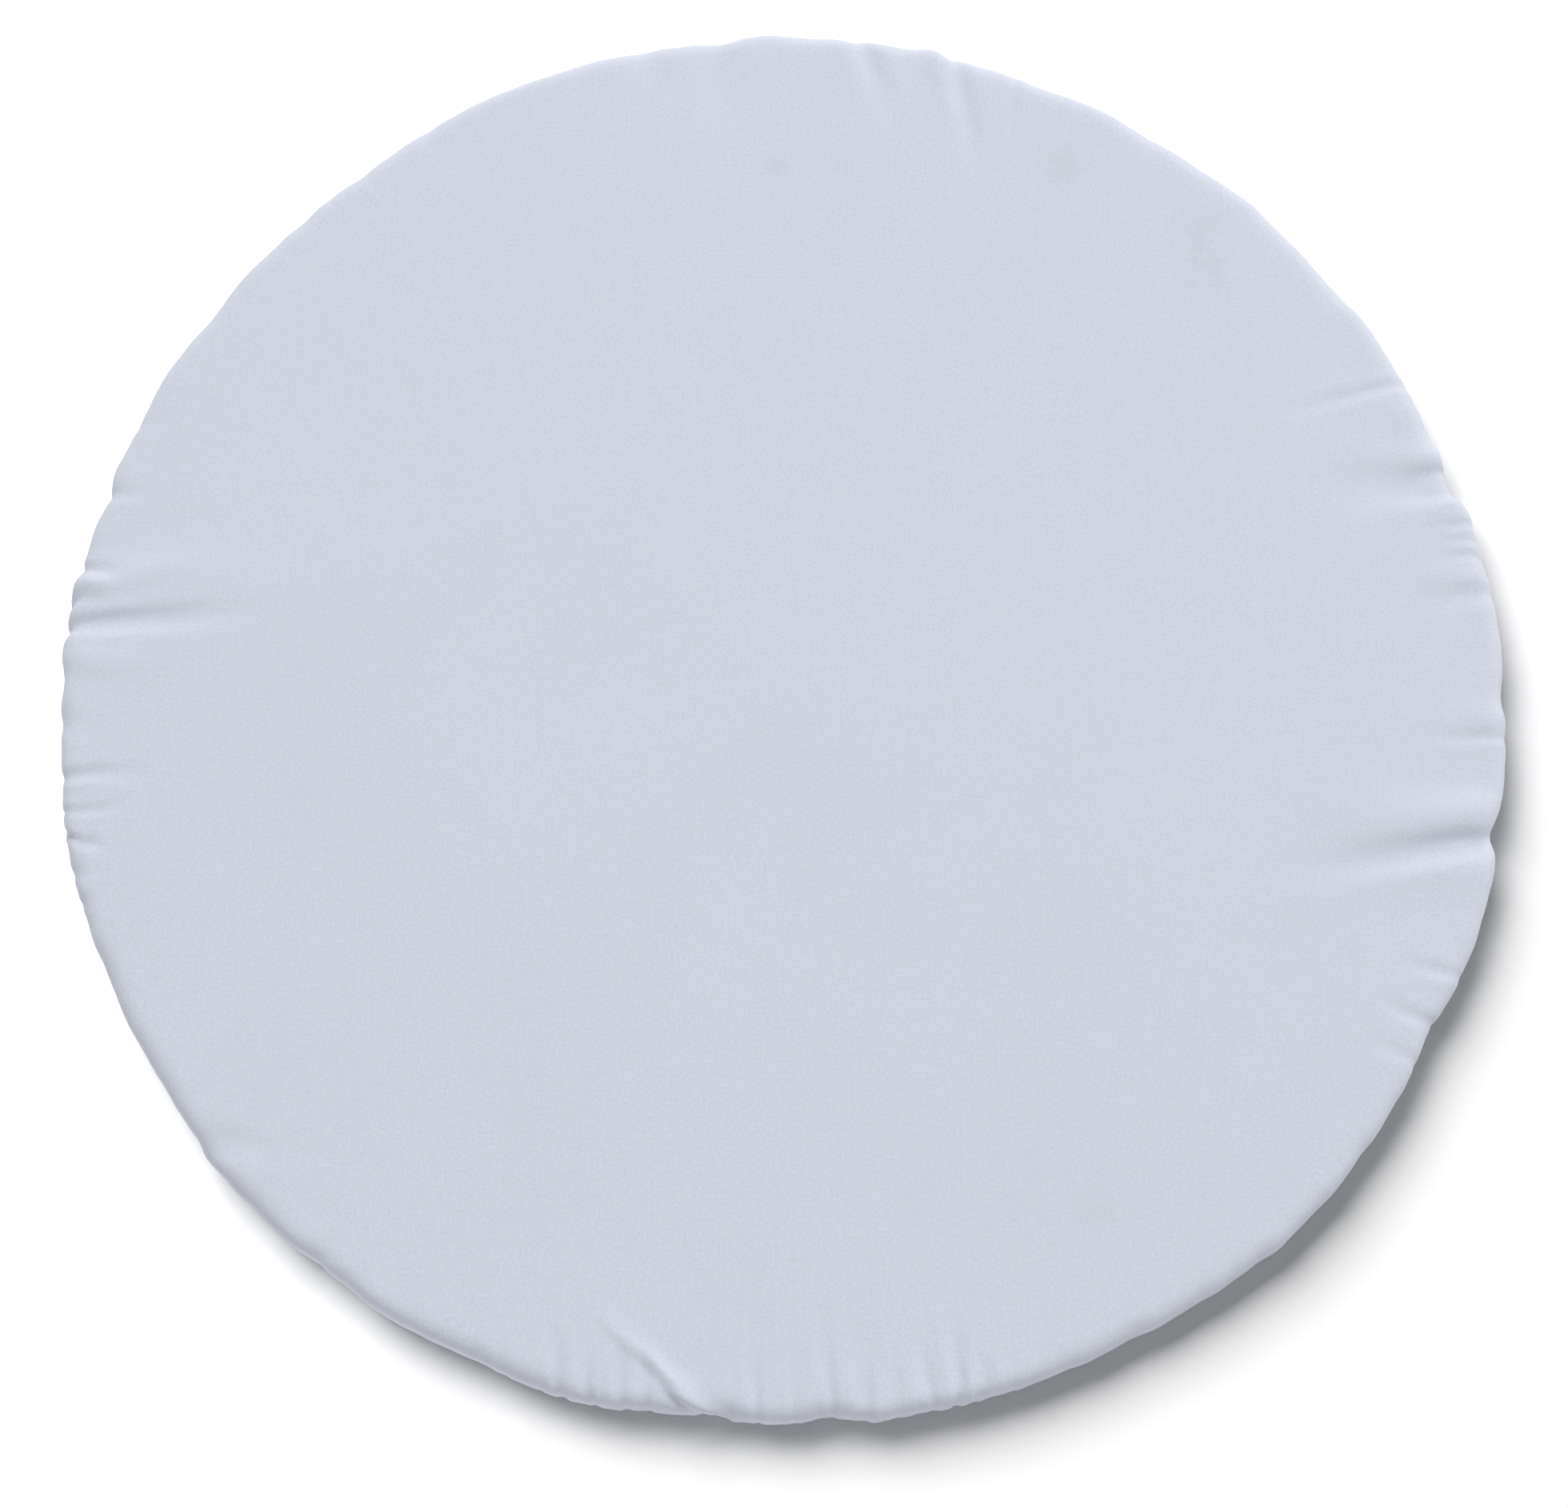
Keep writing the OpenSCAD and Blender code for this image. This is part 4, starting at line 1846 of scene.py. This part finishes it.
@dataclass
class HangingTab:
    """A webbing tab with an eyelet: its patch, sewn end and free flap."""

    side: Side
    bend: float = 3 * MM
    hole_r: float = 7.0 * MM
    pitch: float = 2.6 * MM
    stitch: float = 2.1 * MM

    def box(self, stem: str) -> tuple[Vector, Vector]:
        """The space of one of this side's CAD nodes."""
        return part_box(f"{stem}_{self.side.value}")

    def joint(self) -> Vector:
        """The middle of the tab's hinge line.

        Returns:
            Its place in the row frame.
        """
        name = f"tab_swing_{self.side.value}"
        found = next(j for j in frame["joints"] if j["name"] == name)
        return Vector(found["pos_m"])

    def strap(self) -> bpy.types.Object:
        """One strip of webbing from its sewn end to the tip of its flap.

        Returns:
            The new piece, with a hole for its eyelet.
        """
        hinge = self.joint()
        anchor_low, anchor_high = self.box("tab_anchor")
        flap_low, flap_high = self.box("tab_flap")
        thick = mm(anchor_high.z - anchor_low.z)
        width = mm(flap_high.x - flap_low.x)
        reach = math.hypot(hinge.y - flap_low.y, hinge.z - flap_low.z - thick / 2)
        droop = math.asin((hinge.z - thick / 2 - flap_low.z) / (reach - 0.16 * MM))
        start = anchor_high.y - hinge.y
        rows, columns = 64, 21
        run = np.linspace(-start, reach, rows)
        level = anchor_low.z + thick / 2 - hinge.z
        bend = ease(-5 * MM, 3 * MM, run)
        y = hinge.y - np.where(run > 0, run * math.cos(droop), run)
        z = hinge.z + level * (1 - bend) - np.clip(run, 0, None) * math.sin(droop)
        ahead = np.gradient(np.column_stack([y, z]), axis=0)
        ahead /= np.linalg.norm(ahead, axis=1, keepdims=True)
        under = np.column_stack([-ahead[:, 1], ahead[:, 0]])
        across = np.linspace(-width / 2, width / 2, columns)
        selvedge = 0.12 * MM * (np.abs(across) > width / 2 - 2 * MM)
        i, j = np.meshgrid(np.arange(rows), np.arange(columns), indexing="ij")
        offset = thick / 2 - selvedge[j]
        places = [hinge.x + across[j], y[i] + under[i, 0] * offset, z[i] + under[i, 1] * offset]
        points = np.stack(places, -1).reshape(-1, 3)
        cut = np.stack([across[j], run[i], 0 * run[i]], -1).reshape(-1, 3)
        faces = grid_faces(rows, columns)
        eyelet = np.array(self.eyelet_middle())
        middle = points[faces].mean(1)
        clear = np.linalg.norm((middle - eyelet)[:, :2], axis=1) > self.hole_r
        return Skin(points, cut, faces[clear]).thick(f"webbing_{self.side.value}", thick)

    def eyelet_middle(self) -> Vector:
        """The middle of the eyelet."""
        low, high = self.box("eyelet")
        return (low + high) / 2

    def box_seam(self) -> bpy.types.Object:
        """The square and cross of stitches through the sewn end.

        Returns:
            The new piece.
        """
        corners = seam_corners(*self.box("tab_anchor"), 3 * MM)
        runs = [(corners[k], corners[(k + 1) % 4]) for k in range(4)]
        runs += [(corners[0], corners[2]), (corners[1], corners[3])]
        return sew_under(f"box_seam_{self.side.value}", runs, self.pitch, self.stitch)

    def patch_seam(self) -> bpy.types.Object:
        """The stitches round the patch.

        Returns:
            The new piece.
        """
        corners = seam_corners(*self.box("tab_patch"), 2 * MM)
        runs = [(corners[k], corners[(k + 1) % 4]) for k in range(4)]
        return sew_under(f"patch_seam_{self.side.value}", runs, self.pitch, self.stitch)

    def build(self) -> None:
        """Makes the tab's pieces and dresses its eyelet."""
        wing, tab = self.side.wing, f"{self.side.value}_tab"
        patch = sewn_plate(f"patch_{self.side.value}", *self.box("tab_patch"), 4 * MM)
        PATCH.dress(patch)
        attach(patch, wing)
        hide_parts(f"tab_patch_{self.side.value}")
        strap = self.strap()
        WEBBING.dress(strap)
        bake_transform(strap)
        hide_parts(f"tab_anchor_{self.side.value}", f"tab_flap_{self.side.value}")
        for seam in (self.box_seam(), self.patch_seam()):
            GREY_THREAD.dress(seam)
            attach(seam, wing)
        for name in (f"eyelet_{self.side.value}", f"eyelet_washer_{self.side.value}"):
            BRASS.dress_node(name)
        log.info("hanging tab, %s", self.side.value)


@dataclass
class BackLabel:
    """The blank label sewn to the base cloth."""

    corner: float = 0.8 * MM
    edge: float = 1.5 * MM
    pitch: float = 2.2 * MM
    stitch: float = 1.8 * MM

    def build(self) -> None:
        """Makes the label and its stitches."""
        low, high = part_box("blank_label")
        label = sewn_plate("satin_label", low, high, self.corner)
        SATIN.dress(label)
        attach(label, Side.RIGHT.wing)
        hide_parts("blank_label")
        corners = seam_corners(low, high, self.edge)
        runs = [(corners[0], corners[3]), (corners[1], corners[2])]
        seam = sew_under("label_seam", runs, self.pitch, self.stitch)
        WHITE_THREAD.dress(seam)
        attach(seam, Side.RIGHT.wing)
        log.info("back label")


# ---- The studio ----


@dataclass(frozen=True)
class Lamp:
    """A large soft lamp: the way to it, its distance, size and power."""

    name: str
    toward: tuple[float, float, float]
    distance: float
    size: float
    watts: float

    def hang(self, lit: bpy.types.Collection) -> None:
        """Hangs the lamp so that it lights only what is in one collection.

        Args:
            lit: What the lamp lights.
        """
        data = bpy.data.lights.new(self.name, "AREA")
        data.shape = "SQUARE"
        data.size = self.size
        data.energy = self.watts
        lamp = bpy.data.objects.new(self.name, data)
        way = Vector(self.toward).normalized()
        lamp.location = way * self.distance
        lamp.rotation_mode = "QUATERNION"
        lamp.rotation_quaternion = way.to_track_quat("Z", "Y")
        lamp.visible_camera = False
        lamp.light_linking.receiver_collection = lit
        bpy.context.scene.collection.objects.link(lamp)


@dataclass
class Studio:
    """Pale floor, soft lamps high behind the panel with a fill in front, and the camera."""

    tilt: float = math.radians(16.0)
    distance: float = 2.0
    lens_mm: float = 82.9
    aim: tuple[float, float, float] = (0.0, -0.0332, 0.015)
    floor_reach: float = 40.0
    floor_points: int = 9
    seen_from: float = 0.05
    seen_to: float = 120.0
    wall: float = 1.0
    sky: float = 0.09
    wall_top: float = 0.18
    ceiling: float = 0.25
    floor_lamp: Lamp = Lamp("floor_lamp", (-0.39, 0.55, 0.74), 9.0, 7.0, 1280.0)
    key_lamp: Lamp = Lamp("key_lamp", (0.17, 0.53, 0.83), 12.0, 7.4, 1400.0)
    fill_lamp: Lamp = Lamp("fill_lamp", (-0.05, -0.76, 0.65), 6.0, 4.0, 62.0)

    def floor(self) -> None:
        """Makes the floor."""
        steps = self.floor_points
        line = np.linspace(-self.floor_reach, self.floor_reach, steps)
        x, y = np.meshgrid(line, line)
        points = np.stack([x.ravel(), y.ravel(), 0 * x.ravel()], 1)
        floor = make_piece("floor", points, grid_faces(steps, steps).tolist(), points)
        floor.data.materials.append(PaleFloor("floor", (0.97, 0.97, 0.97)).material())
        floor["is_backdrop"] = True

    def light(self) -> None:
        """Lights the floor and the panel by lamps of their own, so the cloth keeps its tone."""
        shown = {"floor": [bpy.data.objects["floor"]], "panel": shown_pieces()}
        lit = {}
        for name, objects in shown.items():
            lit[name] = bpy.data.collections.new(f"{name}_lit")
            for thing in objects:
                lit[name].objects.link(thing)
        self.floor_lamp.hang(lit["floor"])
        self.key_lamp.hang(lit["panel"])
        self.fill_lamp.hang(lit["panel"])
        bpy.context.scene.world = self.sky_world()
        bpy.context.scene.view_settings.view_transform = "Standard"

    def sky_world(self) -> bpy.types.World:
        """A white wall all round under a dim ceiling.

        Returns:
            The new world.
        """
        world = bpy.data.worlds.new("sky")
        world.use_nodes = True
        plan = NodePlan(world.node_tree)
        place = plan.node("ShaderNodeTexCoord", {}, {}, "Generated")
        height = plan.node("ShaderNodeSeparateXYZ", {}, {"Vector": place}, "Z")
        reach = {"Value": height, "From Min": self.wall_top, "From Max": self.ceiling}
        share = plan.node("ShaderNodeMapRange", {}, reach)
        white = (1.0, 1.0, 1.0, 1.0)
        low, high = (
            plan.node("ShaderNodeBackground", {}, {"Color": white, "Strength": strength})
            for strength in (self.wall, self.sky)
        )
        both = plan.node("ShaderNodeMixShader", {}, {0: share, 1: low, 2: high})
        plan.end("ShaderNodeOutputWorld", both)
        return world

    def camera(self) -> None:
        """Makes the camera, tipped a little towards the lower edge."""
        data = bpy.data.cameras.new("camera")
        data.lens = self.lens_mm
        data.clip_start, data.clip_end = self.seen_from, self.seen_to
        camera = bpy.data.objects.new("camera", data)
        back = Vector((0.0, -math.sin(self.tilt), math.cos(self.tilt)))
        camera.location = Vector(self.aim) + back * self.distance
        camera.rotation_mode = "QUATERNION"
        camera.rotation_quaternion = back.to_track_quat("Z", "Y")
        bpy.context.scene.collection.objects.link(camera)
        bpy.context.scene.camera = camera


def main() -> None:
    """Builds the panel's sub-assemblies and the studio."""
    logging.basicConfig(level=logging.INFO, format="%(message)s", stream=sys.stdout)
    studio = Studio()
    studio.camera()
    studio.floor()
    cover = SlipCover()
    BaseCloth.measured().build()
    SpringHoop.measured().build()
    RimFoam.measured(cover).build()
    HemElastic.measured().build()
    cover.build()
    for side in Side:
        HangingTab(side).build()
    BackLabel().build()
    studio.light()


if __name__ == "__main__":
    main()
